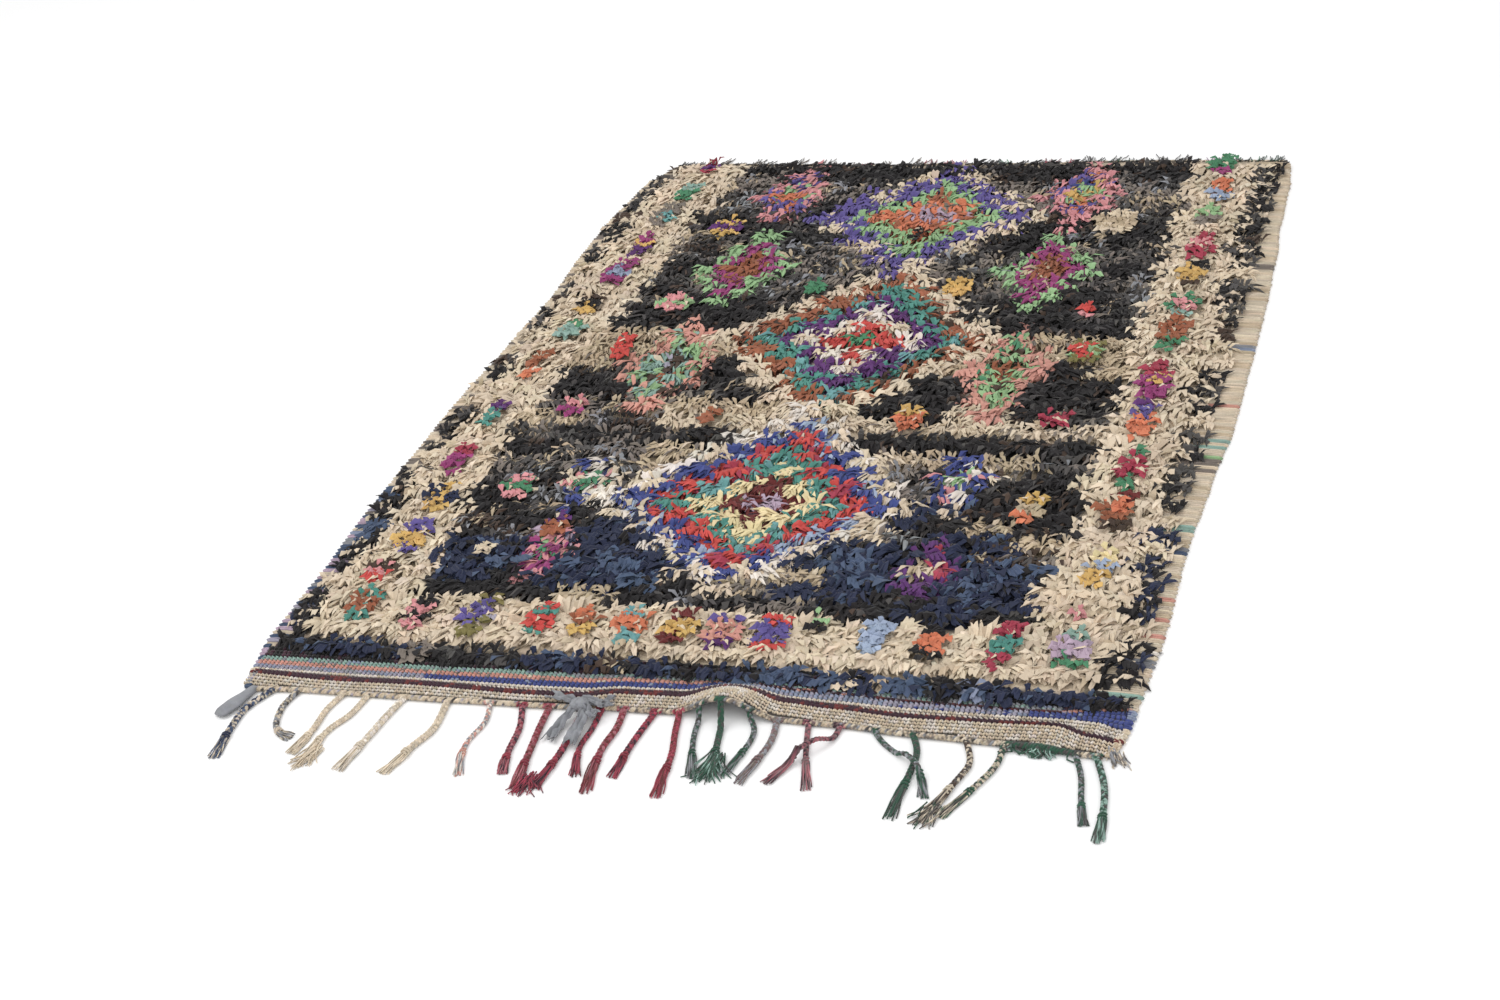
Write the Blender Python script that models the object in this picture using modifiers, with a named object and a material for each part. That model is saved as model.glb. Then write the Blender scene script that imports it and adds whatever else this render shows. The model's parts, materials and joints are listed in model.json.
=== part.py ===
# Boucherouite rug lying flat: a woven cloth with a rag pile, a bare woven end and plaited fringe.
# Metres, +Z up. X runs across the rug and Y along it, with the plaited end towards -Y.
# The origin is the middle of the woven cloth, on the floor.
# Tables give places as "across" (from the left edge) and "along" (from the plaited end).

import math
from collections import namedtuple

import bmesh
import bpy
from mathutils import Vector, noise

# The woven cloth
CLOTH_WIDTH = 1.300
CLOTH_LENGTH = 1.820
CLOTH_THICK = 0.004
CLOTH_COLUMNS = 60
CLOTH_ROWS = 36
END_ROW_SHARE = 0.34  # share of the rows that lie in the bare end, where the cloth buckles
FLAT_ANGLE = math.radians(0.05)  # faces that bend less than this are merged

# The one buckle in the bare end, which lifts the edge off the floor
BUCKLE_ACROSS = 0.757
BUCKLE_HALF_WIDTH = 0.078
BUCKLE_HEIGHT = 0.027
BUCKLE_DEPTH = 0.076

# The rag pile: a slab of tufts on the cloth, with a rim of separate locks
PILE_HEIGHT = 0.0155
PILE_LUMP = 0.0048
PILE_LUMP_PITCH = 0.062
PILE_TUFT = 0.0034
PILE_DRIFT = 0.006  # how far tufts stray sideways
PILE_DRIFT_PITCH = 0.04
PILE_CELL = 0.030
PILE_RIM_HEIGHT = 0.0085
NEAR_BARE_END = 0.106
FAR_BARE_END = 0.030
LEFT_BARE_EDGE = 0.034
RIGHT_BARE_EDGE = 0.050
LOCK_LENGTH = 0.017
LOCK_SPREAD = 0.011
LOCK_PITCH = 0.05
LOCK_TIP_THICK = 0.003

# The twined edge cord of the near end
CORD_THICK = 0.009
CORD_STEP = 0.018
CORD_END = 0.012  # how far the cord stops short of the cloth's corners
CLUMP_ACROSS = 1.190  # a matted clump of yarn on the cord
CLUMP_HALF_WIDTH = 0.045
CLUMP_SWELL = 0.45

# The plaits that hang from the cord
PLAIT_STEP = 0.0088
PLAIT_WAIST = 0.84  # width between two crossings of the strands, as a share of the widest
PLAIT_DROP = 0.026  # length over which a plait comes down from the cord to the floor
PLAIT_SLOPE = 1.3  # the same, as a multiple of the cord's height where it is lifted
OVER_REACH = 0.030  # half the length of the hump where one plait crosses another
OVER_LIFT = 0.0115
CORNER = 0.62  # half the diagonal of a strand's square section, as a share of its width

# The frayed far end
FAR_CORD_THICK = 0.0065
FAR_LOCKS = 40
FAR_LOCK_THICK = 0.0050
FAR_LOCK_SHORT = 0.018
FAR_LOCK_LONG = 0.044
FAR_LOCK_LEAN = 0.012
FAR_MARGIN = 0.030
FAR_LEFT_LIMIT = 0.052  # the far corners are rounded, so no lock stands beyond these
FAR_RIGHT_LIMIT = 0.046

# The rag knotted over the near edge
RAG_THICK = 0.0022
RAG_KNOT_ACROSS = 0.556
RAG_KNOT_ALONG = 0.000
RAG_KNOT_SIZE = (0.024, 0.019, 0.013)
RAG_CRUMPLE = 0.16
RAG_ARCH = 0.0016
RAG_FLAP_STEPS = 6

GAP = 0.0003  # between pieces that touch
EDGE_GAP = 0.0006  # between the cloth's edge and a cord sewn along it
BUCKLE_GAP = 0.0012  # between the pile's locks and the cloth's bent part
WELD = 0.00001

# Roles of the pile's points
HOLLOW, TUFT, LOCK_ROOT, LOCK_TIP = range(4)

# How far each long edge stands in from the plain rectangle
SideSection = namedtuple("SideSection", "along left right")
SIDE_SECTIONS = (
    SideSection(0.00, 0.030, 0.017),
    SideSection(0.05, 0.018, 0.006),
    SideSection(0.12, 0.005, 0.003),
    SideSection(0.28, 0.002, -0.002),
    SideSection(0.46, -0.008, 0.003),
    SideSection(0.64, -0.010, -0.003),
    SideSection(0.82, -0.012, -0.012),
    SideSection(1.02, -0.005, -0.009),
    SideSection(1.22, 0.001, -0.006),
    SideSection(1.40, -0.009, 0.001),
    SideSection(1.54, -0.010, 0.011),
    SideSection(1.70, 0.000, 0.016),
    SideSection(1.82, 0.034, 0.028),
)

# How far each short edge stands in from the plain rectangle
EndSection = namedtuple("EndSection", "across near far")
END_SECTIONS = (
    EndSection(0.00, -0.006, 0.006),
    EndSection(0.15, 0.002, 0.000),
    EndSection(0.30, 0.004, 0.006),
    EndSection(0.46, 0.008, 0.012),
    EndSection(0.62, 0.016, 0.006),
    EndSection(0.78, 0.020, 0.008),
    EndSection(0.92, 0.017, 0.000),
    EndSection(1.02, 0.010, -0.002),
    EndSection(1.14, 0.006, 0.000),
    EndSection(1.30, -0.006, 0.004),
)

# Each plait leaves the cord at root and lies through knee and shin to its tip, as (across, along).
# over is the place where it lies on top of its neighbour.
Plait = namedtuple("Plait", "root knee shin tip thick over")
PLAITS = (
    Plait(0.047, (0.042, -0.032), (0.033, -0.054), (0.024, -0.076), 0.0150, None),
    Plait(0.078, (0.058, -0.054), (0.060, -0.104), (0.068, -0.166), 0.0090, None),
    Plait(0.118, (0.112, -0.045), (0.128, -0.092), (0.160, -0.108), 0.0080, None),
    Plait(0.190, (0.182, -0.042), (0.184, -0.090), (0.176, -0.142), 0.0080, None),
    Plait(0.228, (0.223, -0.048), (0.207, -0.090), (0.201, -0.166), 0.0080, None),
    Plait(0.285, (0.278, -0.050), (0.273, -0.100), (0.262, -0.168), 0.0090, None),
    Plait(0.352, (0.360, -0.062), (0.348, -0.104), (0.330, -0.166), 0.0090, None),
    Plait(0.416, (0.427, -0.040), (0.421, -0.092), (0.438, -0.156), 0.0065, None),
    Plait(0.465, (0.482, -0.046), (0.488, -0.098), (0.497, -0.144), 0.0080, None),
    Plait(0.506, (0.511, -0.046), (0.519, -0.104), (0.527, -0.172), 0.0085, None),
    Plait(0.557, (0.560, -0.048), (0.561, -0.102), (0.553, -0.168), 0.0085, None),
    Plait(0.583, (0.585, -0.036), (0.584, -0.080), (0.600, -0.136), 0.0070, None),
    Plait(0.614, (0.619, -0.032), (0.616, -0.080), (0.625, -0.168), 0.0085, None),
    Plait(0.660, (0.655, -0.032), (0.652, -0.074), (0.651, -0.132), 0.0080, None),
    Plait(0.694, (0.703, -0.030), (0.716, -0.084), (0.722, -0.164), 0.0080, None),
    Plait(0.725, (0.729, -0.022), (0.737, -0.056), (0.757, -0.118), 0.0070, None),
    Plait(0.757, (0.763, -0.018), (0.769, -0.050), (0.778, -0.104), 0.0080, None),
    Plait(0.793, (0.808, -0.010), (0.810, -0.044), (0.797, -0.108), 0.0070, None),
    Plait(0.832, (0.838, -0.020), (0.836, -0.056), (0.820, -0.122), 0.0080, None),
    Plait(0.877, (0.884, -0.018), (0.893, -0.052), (0.914, -0.122), 0.0070, None),
    Plait(0.921, (0.917, -0.018), (0.889, -0.050), (0.856, -0.116), 0.0070, (0.897, -0.044)),
    Plait(0.968, (0.990, -0.018), (1.046, -0.066), (1.068, -0.118), 0.0070, (1.038, -0.058)),
    Plait(1.022, (1.036, -0.030), (1.038, -0.075), (1.034, -0.164), 0.0080, None),
    Plait(1.093, (1.108, -0.040), (1.101, -0.078), (1.073, -0.164), 0.0075, None),
    Plait(1.143, (1.143, -0.040), (1.128, -0.084), (1.096, -0.150), 0.0075, None),
    Plait(1.236, (1.252, -0.048), (1.262, -0.096), (1.273, -0.142), 0.0070, None),
    Plait(1.264, (1.283, -0.060), (1.292, -0.108), (1.297, -0.172), 0.0080, None),
)

# A plait's width near its tip: a knot, then loose ends. share is the share of its length.
TasselSection = namedtuple("TasselSection", "share width")
TASSEL_SECTIONS = (
    TasselSection(0.74, 0.92),
    TasselSection(0.78, 1.26),
    TasselSection(0.83, 0.90),
    TasselSection(0.92, 1.28),
    TasselSection(1.00, 1.08),
)

# The rag's flaps, each from root to tip as (across, along, height of its underside)
RagFlap = namedtuple("RagFlap", "root tip root_width tip_width")
RAG_FLAPS = (
    RagFlap((0.552, 0.004, 0.0130), (0.503, 0.021, 0.0086), 0.012, 0.021),
    RagFlap((0.560, 0.004, 0.0130), (0.597, 0.019, 0.0086), 0.012, 0.018),
    RagFlap((0.547, 0.000, 0.0110), (0.5385, -0.066, 0.0002), 0.010, 0.013),
    RagFlap((0.564, -0.002, 0.0120), (0.573, -0.078, 0.0086), 0.013, 0.020),
)


def smooth(share):
    """Eases a share from 0 to 1 with level ends."""
    share = min(1.0, max(0.0, share))
    return share * share * (3.0 - 2.0 * share)


def read_table(rows, where, column):
    """Reads a column between the rows of a table whose first column is the place."""
    if where <= rows[0][0]:
        return getattr(rows[0], column)
    for low, high in zip(rows, rows[1:]):
        if where <= high[0]:
            share = smooth((where - low[0]) / (high[0] - low[0]))
            return getattr(low, column) * (1.0 - share) + getattr(high, column) * share
    return getattr(rows[-1], column)


def world(across, along, height=0.0):
    """Turns a place on the rug into the part's own frame."""
    return Vector((across - CLOTH_WIDTH / 2, along - CLOTH_LENGTH / 2, height))


def near_edge(across):
    return read_table(END_SECTIONS, across, "near")


def far_edge(across):
    return CLOTH_LENGTH - read_table(END_SECTIONS, across, "far")


def place_across(share, along, left_inset=0.0, right_inset=0.0):
    """The across of a point at a share of the way between the two long edges."""
    left = read_table(SIDE_SECTIONS, along, "left") + left_inset
    right = CLOTH_WIDTH - read_table(SIDE_SECTIONS, along, "right") - right_inset
    return left + (right - left) * share


def buckle(across, along):
    """Height of the cloth's underside over the floor."""
    offset = abs(across - BUCKLE_ACROSS) / BUCKLE_HALF_WIDTH
    depth = max(0.0, (along - near_edge(across)) / BUCKLE_DEPTH)
    if offset >= 1.0 or depth >= 1.0:
        return 0.0
    crest = math.cos(offset * math.pi / 2) ** 2
    return BUCKLE_HEIGHT * crest * math.cos(depth * math.pi / 2) ** 2


def noise_at(across, along, pitch, seed):
    """Smooth noise from -1 to 1 with lumps of the given pitch."""
    return noise.noise(Vector((across / pitch, along / pitch, seed)))


def make_material(name, color, roughness):
    material = bpy.data.materials.new(name)
    material.use_nodes = True
    shader = material.node_tree.nodes["Principled BSDF"]
    shader.inputs["Base Color"].default_value = (*color, 1.0)
    shader.inputs["Roughness"].default_value = roughness
    shader.inputs["Metallic"].default_value = 0.0
    return material


def add_object(name, mesh, collection, material=None):
    thing = bpy.data.objects.new(name, mesh)
    collection.objects.link(thing)
    mesh.materials.clear()
    if material:
        mesh.materials.append(material)
    return thing


def finish_mesh(name, shape):
    """Turns a bmesh into a mesh and frees it."""
    mesh = bpy.data.meshes.new(name)
    shape.to_mesh(mesh)
    shape.free()
    return mesh


def join_shapes(thing, others):
    """Fuses an object with every object of a collection."""
    for other in others.objects:
        other.hide_render = True
        other.display_type = "WIRE"
    union = thing.modifiers.new("fused", "BOOLEAN")
    union.operation = "UNION"
    union.solver = "EXACT"
    union.operand_type = "COLLECTION"
    union.collection = others


def make_tube(name, route, collection, material=None):
    """A tube with four sides, one of them down. route holds a point and a width for each step."""
    curve = bpy.data.curves.new(name, "CURVE")
    curve.dimensions = "3D"
    curve.twist_mode = "Z_UP"
    curve.bevel_depth = 1.0
    curve.bevel_resolution = 0
    curve.use_fill_caps = True
    line = curve.splines.new("POLY")
    line.points.add(len(route) - 1)
    for step, (point, width) in zip(line.points, route):
        step.co = (*point, 1.0)
        step.radius = width * CORNER
        step.tilt = math.radians(45)
    guide = bpy.data.objects.new(name, curve)
    collection.objects.link(guide)
    bpy.context.view_layer.update()
    depsgraph = bpy.context.evaluated_depsgraph_get()
    mesh = bpy.data.meshes.new_from_object(guide.evaluated_get(depsgraph))
    shape = bmesh.new()
    shape.from_mesh(mesh)
    bmesh.ops.remove_doubles(shape, verts=shape.verts, dist=WELD)
    bmesh.ops.recalc_face_normals(shape, faces=shape.faces)
    shape.to_mesh(mesh)
    shape.free()
    matrix = guide.matrix_world.copy()
    bpy.data.objects.remove(guide)
    tube = add_object(name, mesh, collection, material)
    tube.matrix_world = matrix
    return tube


def half_side(width):
    """Half the height of a four-sided tube of this width, which lies with one side down."""
    return width * CORNER * math.cos(math.pi / 4)


def end_weighted(share):
    """A share of the cloth's length, with END_ROW_SHARE of the rows in the bare end."""
    end = NEAR_BARE_END / CLOTH_LENGTH
    if share < END_ROW_SHARE:
        return end * share / END_ROW_SHARE
    return end + (1.0 - end) * (share - END_ROW_SHARE) / (1.0 - END_ROW_SHARE)


def build_ground(collection, material):
    """The woven cloth, bare at both ends and along the edges, with its one buckle."""
    shape = bmesh.new()
    bmesh.ops.create_grid(shape, x_segments=CLOTH_COLUMNS, y_segments=CLOTH_ROWS, size=0.5)
    for point in shape.verts:
        share = end_weighted(point.co.y + 0.5)
        across = place_across(point.co.x + 0.5, share * CLOTH_LENGTH)
        along = near_edge(across) + (far_edge(across) - near_edge(across)) * share
        point.co = world(across, along, buckle(across, along))
    cloth = add_object("ground_weave", finish_mesh("ground_weave", shape), collection, material)
    flatten = cloth.modifiers.new("merge_flat_faces", "DECIMATE")
    flatten.decimate_type = "DISSOLVE"
    flatten.angle_limit = FLAT_ANGLE
    thicken = cloth.modifiers.new("cloth_thickness", "SOLIDIFY")
    thicken.thickness = CLOTH_THICK
    thicken.offset = 1.0


def lock_reach(across, along, seed):
    """How far a lock of the pile's rim stands out."""
    return LOCK_LENGTH + LOCK_SPREAD * noise_at(across, along, LOCK_PITCH, seed)


def place_pile_point(column, row, columns, rows):
    """Where a point of the pile lies in plan, and its role."""
    share = row / rows
    across = place_across(column / columns, CLOTH_LENGTH * share, LEFT_BARE_EDGE, RIGHT_BARE_EDGE)
    along = NEAR_BARE_END + (far_edge(across) - FAR_BARE_END - NEAR_BARE_END) * share
    on_side, on_end = column in (0, columns), row in (0, rows)
    if not on_side and not on_end:
        return across, along, TUFT if (column + row) % 2 else HOLLOW
    if (column + row) % 2 == 0:
        return across, along, LOCK_ROOT
    if on_side:
        across += lock_reach(across, along, 3.1) * (1 if column else -1)
    else:
        along += lock_reach(across, along, 7.3) * (1 if row else -1)
    return across, along, LOCK_TIP


def pile_top(across, along, role):
    """Height of the pile's surface over its underside."""
    if role == LOCK_TIP:
        return LOCK_TIP_THICK
    if role == LOCK_ROOT:
        return PILE_RIM_HEIGHT
    lump = PILE_HEIGHT + PILE_LUMP * noise_at(across, along, PILE_LUMP_PITCH, 1.7)
    return lump + (PILE_TUFT if role == TUFT else -PILE_TUFT)


def build_pile(collection, material):
    """The rag pile, tufted over its top, with a flat underside and locks round its rim."""
    pile_width = CLOTH_WIDTH - LEFT_BARE_EDGE - RIGHT_BARE_EDGE
    pile_length = CLOTH_LENGTH - NEAR_BARE_END - FAR_BARE_END
    columns = 2 * round(pile_width / PILE_CELL / 2)
    rows = 2 * round(pile_length / PILE_CELL / 2)
    shape = bmesh.new()
    role_of = shape.verts.layers.int.new("role")
    bmesh.ops.create_grid(shape, x_segments=columns, y_segments=rows, size=0.5)
    for point in shape.verts:
        column, row = round((point.co.x + 0.5) * columns), round((point.co.y + 0.5) * rows)
        across, along, role = place_pile_point(column, row, columns, rows)
        lift = buckle(across, along)
        point.co = world(across, along, CLOTH_THICK + GAP + lift + (BUCKLE_GAP if lift else 0.0))
        point[role_of] = role
    lower = list(shape.faces)
    raised = bmesh.ops.extrude_face_region(shape, geom=lower, use_keep_orig=True)
    for point in (item for item in raised["geom"] if isinstance(item, bmesh.types.BMVert)):
        role = point[role_of]
        across, along = point.co.x + CLOTH_WIDTH / 2, point.co.y + CLOTH_LENGTH / 2
        point.co.z += pile_top(across, along, role)
        if role in (HOLLOW, TUFT):
            point.co.x += PILE_DRIFT * noise_at(across, along, PILE_DRIFT_PITCH, 4.9)
            point.co.y += PILE_DRIFT * noise_at(across, along, PILE_DRIFT_PITCH, 8.3)
    bmesh.ops.recalc_face_normals(shape, faces=shape.faces)
    under = [face for face in shape.faces if face.normal.z < -0.9]
    edges = {edge for face in under for edge in face.edges if len(edge.link_faces) == 2}
    bmesh.ops.dissolve_limit(
        shape,
        angle_limit=FLAT_ANGLE,
        verts=[],
        edges=[edge for edge in edges if all(face in under for face in edge.link_faces)],
    )
    add_object("rag_pile", finish_mesh("rag_pile", shape), collection, material)


def cord_width(across):
    """The edge cord's width, which swells at the matted clump."""
    nearness = 1.0 - abs(across - CLUMP_ACROSS) / CLUMP_HALF_WIDTH
    return CORD_THICK * (1.0 + CLUMP_SWELL * smooth(nearness))


def cord_middle(across):
    """The middle of the edge cord at one place, just outside the cloth's edge."""
    half = half_side(cord_width(across))
    edge = near_edge(across)
    return world(across, edge - EDGE_GAP - half, buckle(across, edge) + half)


def curve_through(points, share):
    """A point on a smooth curve through all the points, at a share of its way."""
    spans = len(points) - 1
    span = min(int(share * spans), spans - 1)
    part = share * spans - span
    before, start = points[max(span - 1, 0)], points[span]
    end, after = points[span + 1], points[min(span + 2, spans)]
    turn = (end - before) * 0.5
    leave = (after - start) * 0.5
    cube, square = part ** 3, part ** 2
    return (
        start * (2 * cube - 3 * square + 1)
        + turn * (cube - 2 * square + part)
        + end * (3 * square - 2 * cube)
        + leave * (cube - square)
    )


def plait_width(plait, step, steps):
    """A plait's width at one step: lumps where its strands cross, then a knot and loose ends."""
    share = step / steps
    if share < TASSEL_SECTIONS[0].share:
        return plait.thick * (PLAIT_WAIST if step % 2 else 1.0)
    return plait.thick * read_table(TASSEL_SECTIONS, share, "width")


def plait_route(plait):
    """The middle line and widths of a plait, from inside the cord to the tip on the floor."""
    root = cord_middle(plait.root)
    corners = [root] + [world(*place) for place in (plait.knee, plait.shin, plait.tip)]
    flat = [Vector((point.x, point.y, 0.0)) for point in corners]
    length = sum((end - start).length for start, end in zip(flat, flat[1:]))
    steps = round(length / PLAIT_STEP)
    route = []
    for step in range(steps + 1):
        point = curve_through(flat, step / steps)
        width = plait_width(plait, step, steps)
        floor = half_side(width)
        drop = max(PLAIT_DROP, PLAIT_SLOPE * root.z)
        left = 1.0 - smooth(length * step / steps / drop)
        point.z = floor + max(0.0, root.z - floor) * left
        if plait.over:
            distance = (Vector((point.x, point.y, 0.0)) - world(*plait.over)).length
            point.z = max(point.z, floor + OVER_LIFT * smooth(1.35 - distance / OVER_REACH))
        route.append((point, width))
    return route


def build_near_fringe(collection, cutters, material):
    """The twined cord along the near end and the plaits that hang from it."""
    first, last = place_across(0.0, 0.0) + CORD_END, place_across(1.0, 0.0) - CORD_END
    steps = round((last - first) / CORD_STEP)
    places = [first + (last - first) * step / steps for step in range(steps + 1)]
    route = [(cord_middle(across), cord_width(across)) for across in places]
    cord = make_tube("fringe_near", route, collection, material)
    for number, plait in enumerate(PLAITS, 1):
        make_tube(f"plait_{number:02d}", plait_route(plait), cutters)
    join_shapes(cord, cutters)


def far_lock_route(number):
    """The middle line and widths of one frayed lock at the far end."""
    pitch = (CLOTH_WIDTH - 2 * FAR_MARGIN) / FAR_LOCKS
    across = FAR_MARGIN + pitch * (number + 0.5 + 0.2 * noise_at(number * 0.7, 0.0, 1.0, 2.9))
    across = min(max(across, FAR_LEFT_LIMIT), CLOTH_WIDTH - FAR_RIGHT_LIMIT)
    share = 0.5 + noise_at(number * 0.83, 0.0, 1.0, 5.7)
    length = FAR_LOCK_SHORT + (FAR_LOCK_LONG - FAR_LOCK_SHORT) * min(1.0, max(0.0, share))
    lean = FAR_LOCK_LEAN * noise_at(number * 0.61, 0.0, 1.0, 8.1)
    half = half_side(FAR_CORD_THICK)
    start = far_edge(across) + EDGE_GAP + half
    route = []
    for share, width in ((0.0, 0.9), (0.45, 1.0), (0.8, 1.15), (1.0, 0.7)):
        thick = FAR_LOCK_THICK * width
        point = world(across + lean * share ** 2, start + length * share, half_side(thick))
        route.append((point, thick))
    return route


def build_far_fringe(collection, cutters, material):
    """The frayed far end: a thin selvedge cord with short loose locks."""
    first, last = place_across(0.0, CLOTH_LENGTH), place_across(1.0, CLOTH_LENGTH)
    steps = round((last - first) / CORD_STEP)
    half = half_side(FAR_CORD_THICK)
    places = [first + (last - first) * step / steps for step in range(steps + 1)]
    route = [(world(x, far_edge(x) + EDGE_GAP + half, half), FAR_CORD_THICK) for x in places]
    cord = make_tube("fringe_far", route, collection, material)
    for number in range(FAR_LOCKS):
        make_tube(f"far_lock_{number + 1:02d}", far_lock_route(number), cutters)
    join_shapes(cord, cutters)


def make_flap(name, flap, collection):
    """One loose end of the knotted rag, a thin strip that widens and waves towards its tip."""
    root, tip = world(*flap.root), world(*flap.tip)
    run = tip - root
    side = Vector((-run.y, run.x, 0.0)).normalized()
    shape = bmesh.new()
    bmesh.ops.create_grid(shape, x_segments=RAG_FLAP_STEPS, y_segments=2, size=0.5)
    for point in shape.verts:
        share, spread = point.co.x + 0.5, point.co.y * 2.0
        width = flap.root_width + (flap.tip_width - flap.root_width) * share
        fall = root.z + (tip.z - root.z) * smooth(share * 1.25)
        arch = RAG_ARCH * (1.0 - spread * spread) * (1.0 - share)
        middle = root + run * share
        point.co = Vector((middle.x, middle.y, fall + arch)) + side * width * 0.5 * spread
    strip = add_object(name, finish_mesh(name, shape), collection)
    thicken = strip.modifiers.new("rag_thickness", "SOLIDIFY")
    thicken.thickness = RAG_THICK
    thicken.offset = 1.0


def build_rag(collection, cutters, material):
    """The rag tied over the near edge: a crumpled knot with its four loose ends."""
    bottom = 2 * half_side(CORD_THICK) + GAP
    centre = world(RAG_KNOT_ACROSS, RAG_KNOT_ALONG, bottom + RAG_KNOT_SIZE[2] / 2)
    shape = bmesh.new()
    bmesh.ops.create_icosphere(shape, subdivisions=2, radius=0.5)
    for point in shape.verts:
        crumple = 1.0 - RAG_CRUMPLE * (0.5 + 0.5 * noise.noise(point.co * 5.0))
        sizes = Vector(RAG_KNOT_SIZE)
        point.co = Vector([part * size * crumple for part, size in zip(point.co, sizes)]) + centre
    knot = add_object("rag_tie", finish_mesh("rag_tie", shape), collection, material)
    for number, flap in enumerate(RAG_FLAPS, 1):
        make_flap(f"rag_flap_{number}", flap, cutters)
    join_shapes(knot, cutters)


def new_collection(name, parent):
    collection = bpy.data.collections.new(name)
    parent.children.link(collection)
    return collection


def main():
    for thing in list(bpy.data.objects):
        bpy.data.objects.remove(thing)
    scene = bpy.context.scene.collection
    rug = new_collection("boucherouite_rug", scene)
    cutters = new_collection("cutters", scene)
    cotton = make_material("ground_cotton", (0.55, 0.47, 0.34), 0.95)
    rags = make_material("rag_pile_mixed", (0.20, 0.16, 0.15), 0.92)
    yarn = make_material("fringe_yarn", (0.26, 0.20, 0.19), 0.90)
    frayed = make_material("frayed_yarn", (0.10, 0.10, 0.09), 0.92)
    grey_rag = make_material("grey_rag", (0.22, 0.22, 0.26), 0.90)
    build_ground(rug, cotton)
    build_pile(rug, rags)
    build_near_fringe(rug, new_collection("plaits", cutters), yarn)
    build_far_fringe(rug, new_collection("far_locks", cutters), frayed)
    build_rag(rug, new_collection("rag_flaps", cutters), grey_rag)


main()
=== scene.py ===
# Looks of the boucherouite rug: woven ground, stitched bare end, rag pile, plaits, frays and a rag tie
import json
import math
import random
from collections import namedtuple

import bmesh
import bpy
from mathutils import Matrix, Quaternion, Vector, noise

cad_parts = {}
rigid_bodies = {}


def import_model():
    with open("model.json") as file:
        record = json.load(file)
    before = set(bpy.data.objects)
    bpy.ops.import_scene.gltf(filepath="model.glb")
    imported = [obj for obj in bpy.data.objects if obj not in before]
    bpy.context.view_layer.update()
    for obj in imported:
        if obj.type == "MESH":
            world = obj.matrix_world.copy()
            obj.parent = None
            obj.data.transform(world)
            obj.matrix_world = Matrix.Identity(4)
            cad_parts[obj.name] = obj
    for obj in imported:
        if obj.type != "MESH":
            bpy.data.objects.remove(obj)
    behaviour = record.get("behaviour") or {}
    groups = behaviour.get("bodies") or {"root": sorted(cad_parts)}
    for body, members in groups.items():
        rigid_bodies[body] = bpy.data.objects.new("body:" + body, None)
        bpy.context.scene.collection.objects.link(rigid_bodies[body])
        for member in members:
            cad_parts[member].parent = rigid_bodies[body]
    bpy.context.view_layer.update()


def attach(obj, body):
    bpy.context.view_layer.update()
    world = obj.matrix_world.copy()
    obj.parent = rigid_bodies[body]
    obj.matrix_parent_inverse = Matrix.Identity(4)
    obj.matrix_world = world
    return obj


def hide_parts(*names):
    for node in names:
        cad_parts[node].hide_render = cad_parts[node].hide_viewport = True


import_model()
print("stage 1: frame loaded")

# Camera, at the photo's viewing angle
viewpoint = {
    "place": (1.187, -3.190, 1.806),
    "aim": (-0.037, -0.352, 0.0),
    "roll": -9.72,  # degrees, clockwise
    "lens": 55.72,
}


def addCamera():
    data = bpy.data.cameras.new("camera")
    data.lens = viewpoint["lens"]
    data.sensor_width = 36.0
    camera = bpy.data.objects.new("camera", data)
    bpy.context.scene.collection.objects.link(camera)
    place, aim = Vector(viewpoint["place"]), Vector(viewpoint["aim"])
    look = (aim - place).to_track_quat("-Z", "Y")
    roll = Quaternion((0.0, 0.0, 1.0), math.radians(viewpoint["roll"]))
    camera.rotation_mode = "QUATERNION"
    camera.rotation_quaternion = look @ roll
    camera.location = place
    bpy.context.scene.camera = camera


addCamera()

# Rag, weft and yarn colours, as they look in daylight (red, green, blue from 0 to 255)
dyes = {
    "cream": (212, 190, 158),
    "paleCream": (225, 205, 175),
    "sand": (193, 170, 136),
    "tan": (183, 160, 124),
    "black": (36, 33, 34),
    "charcoal": (76, 72, 70),
    "brown": (74, 56, 44),
    "taupe": (124, 112, 102),
    "navy": (38, 46, 74),
    "slate": (66, 85, 116),
    "royal": (58, 72, 142),
    "red": (208, 52, 40),
    "teal": (56, 140, 126),
    "turquoise": (88, 156, 156),
    "paleYellow": (226, 204, 142),
    "maroon": (112, 38, 36),
    "lilac": (174, 148, 170),
    "rust": (160, 86, 46),
    "purple": (96, 44, 114),
    "violet": (94, 78, 152),
    "lightGreen": (136, 180, 116),
    "green": (54, 132, 88),
    "olive": (122, 112, 48),
    "magenta": (156, 46, 116),
    "crimson": (170, 40, 70),
    "pink": (214, 132, 136),
    "salmon": (208, 138, 118),
    "mustard": (208, 162, 56),
    "orange": (212, 108, 56),
    "paleBlue": (146, 164, 192),
    "white": (222, 210, 196),
    "greyBlue": (128, 140, 168),
    "lavender": (156, 150, 170),
    "grey": (134, 136, 142),
    "seaGreen": (128, 166, 152),
    "aubergine": (66, 34, 48),
    "yarnGreen": (34, 84, 62),
    "yarnCrimson": (146, 34, 56),
    "yarnPink": (176, 92, 104),
    "yarnTaupe": (128, 98, 100),
    "ecru": (206, 188, 160),
}


faded = 0.26  # how far each colour has gone to grey with age
seeds = {
    "tufts": 11, "ground": 3, "band": 8, "wefts": 21, "plaits": 17, "cord": 14, "clump": 33,
    "bushes": 63, "frays": 27, "rag": 44, "ragDye": 45, "boundDye": 51,
}


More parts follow.
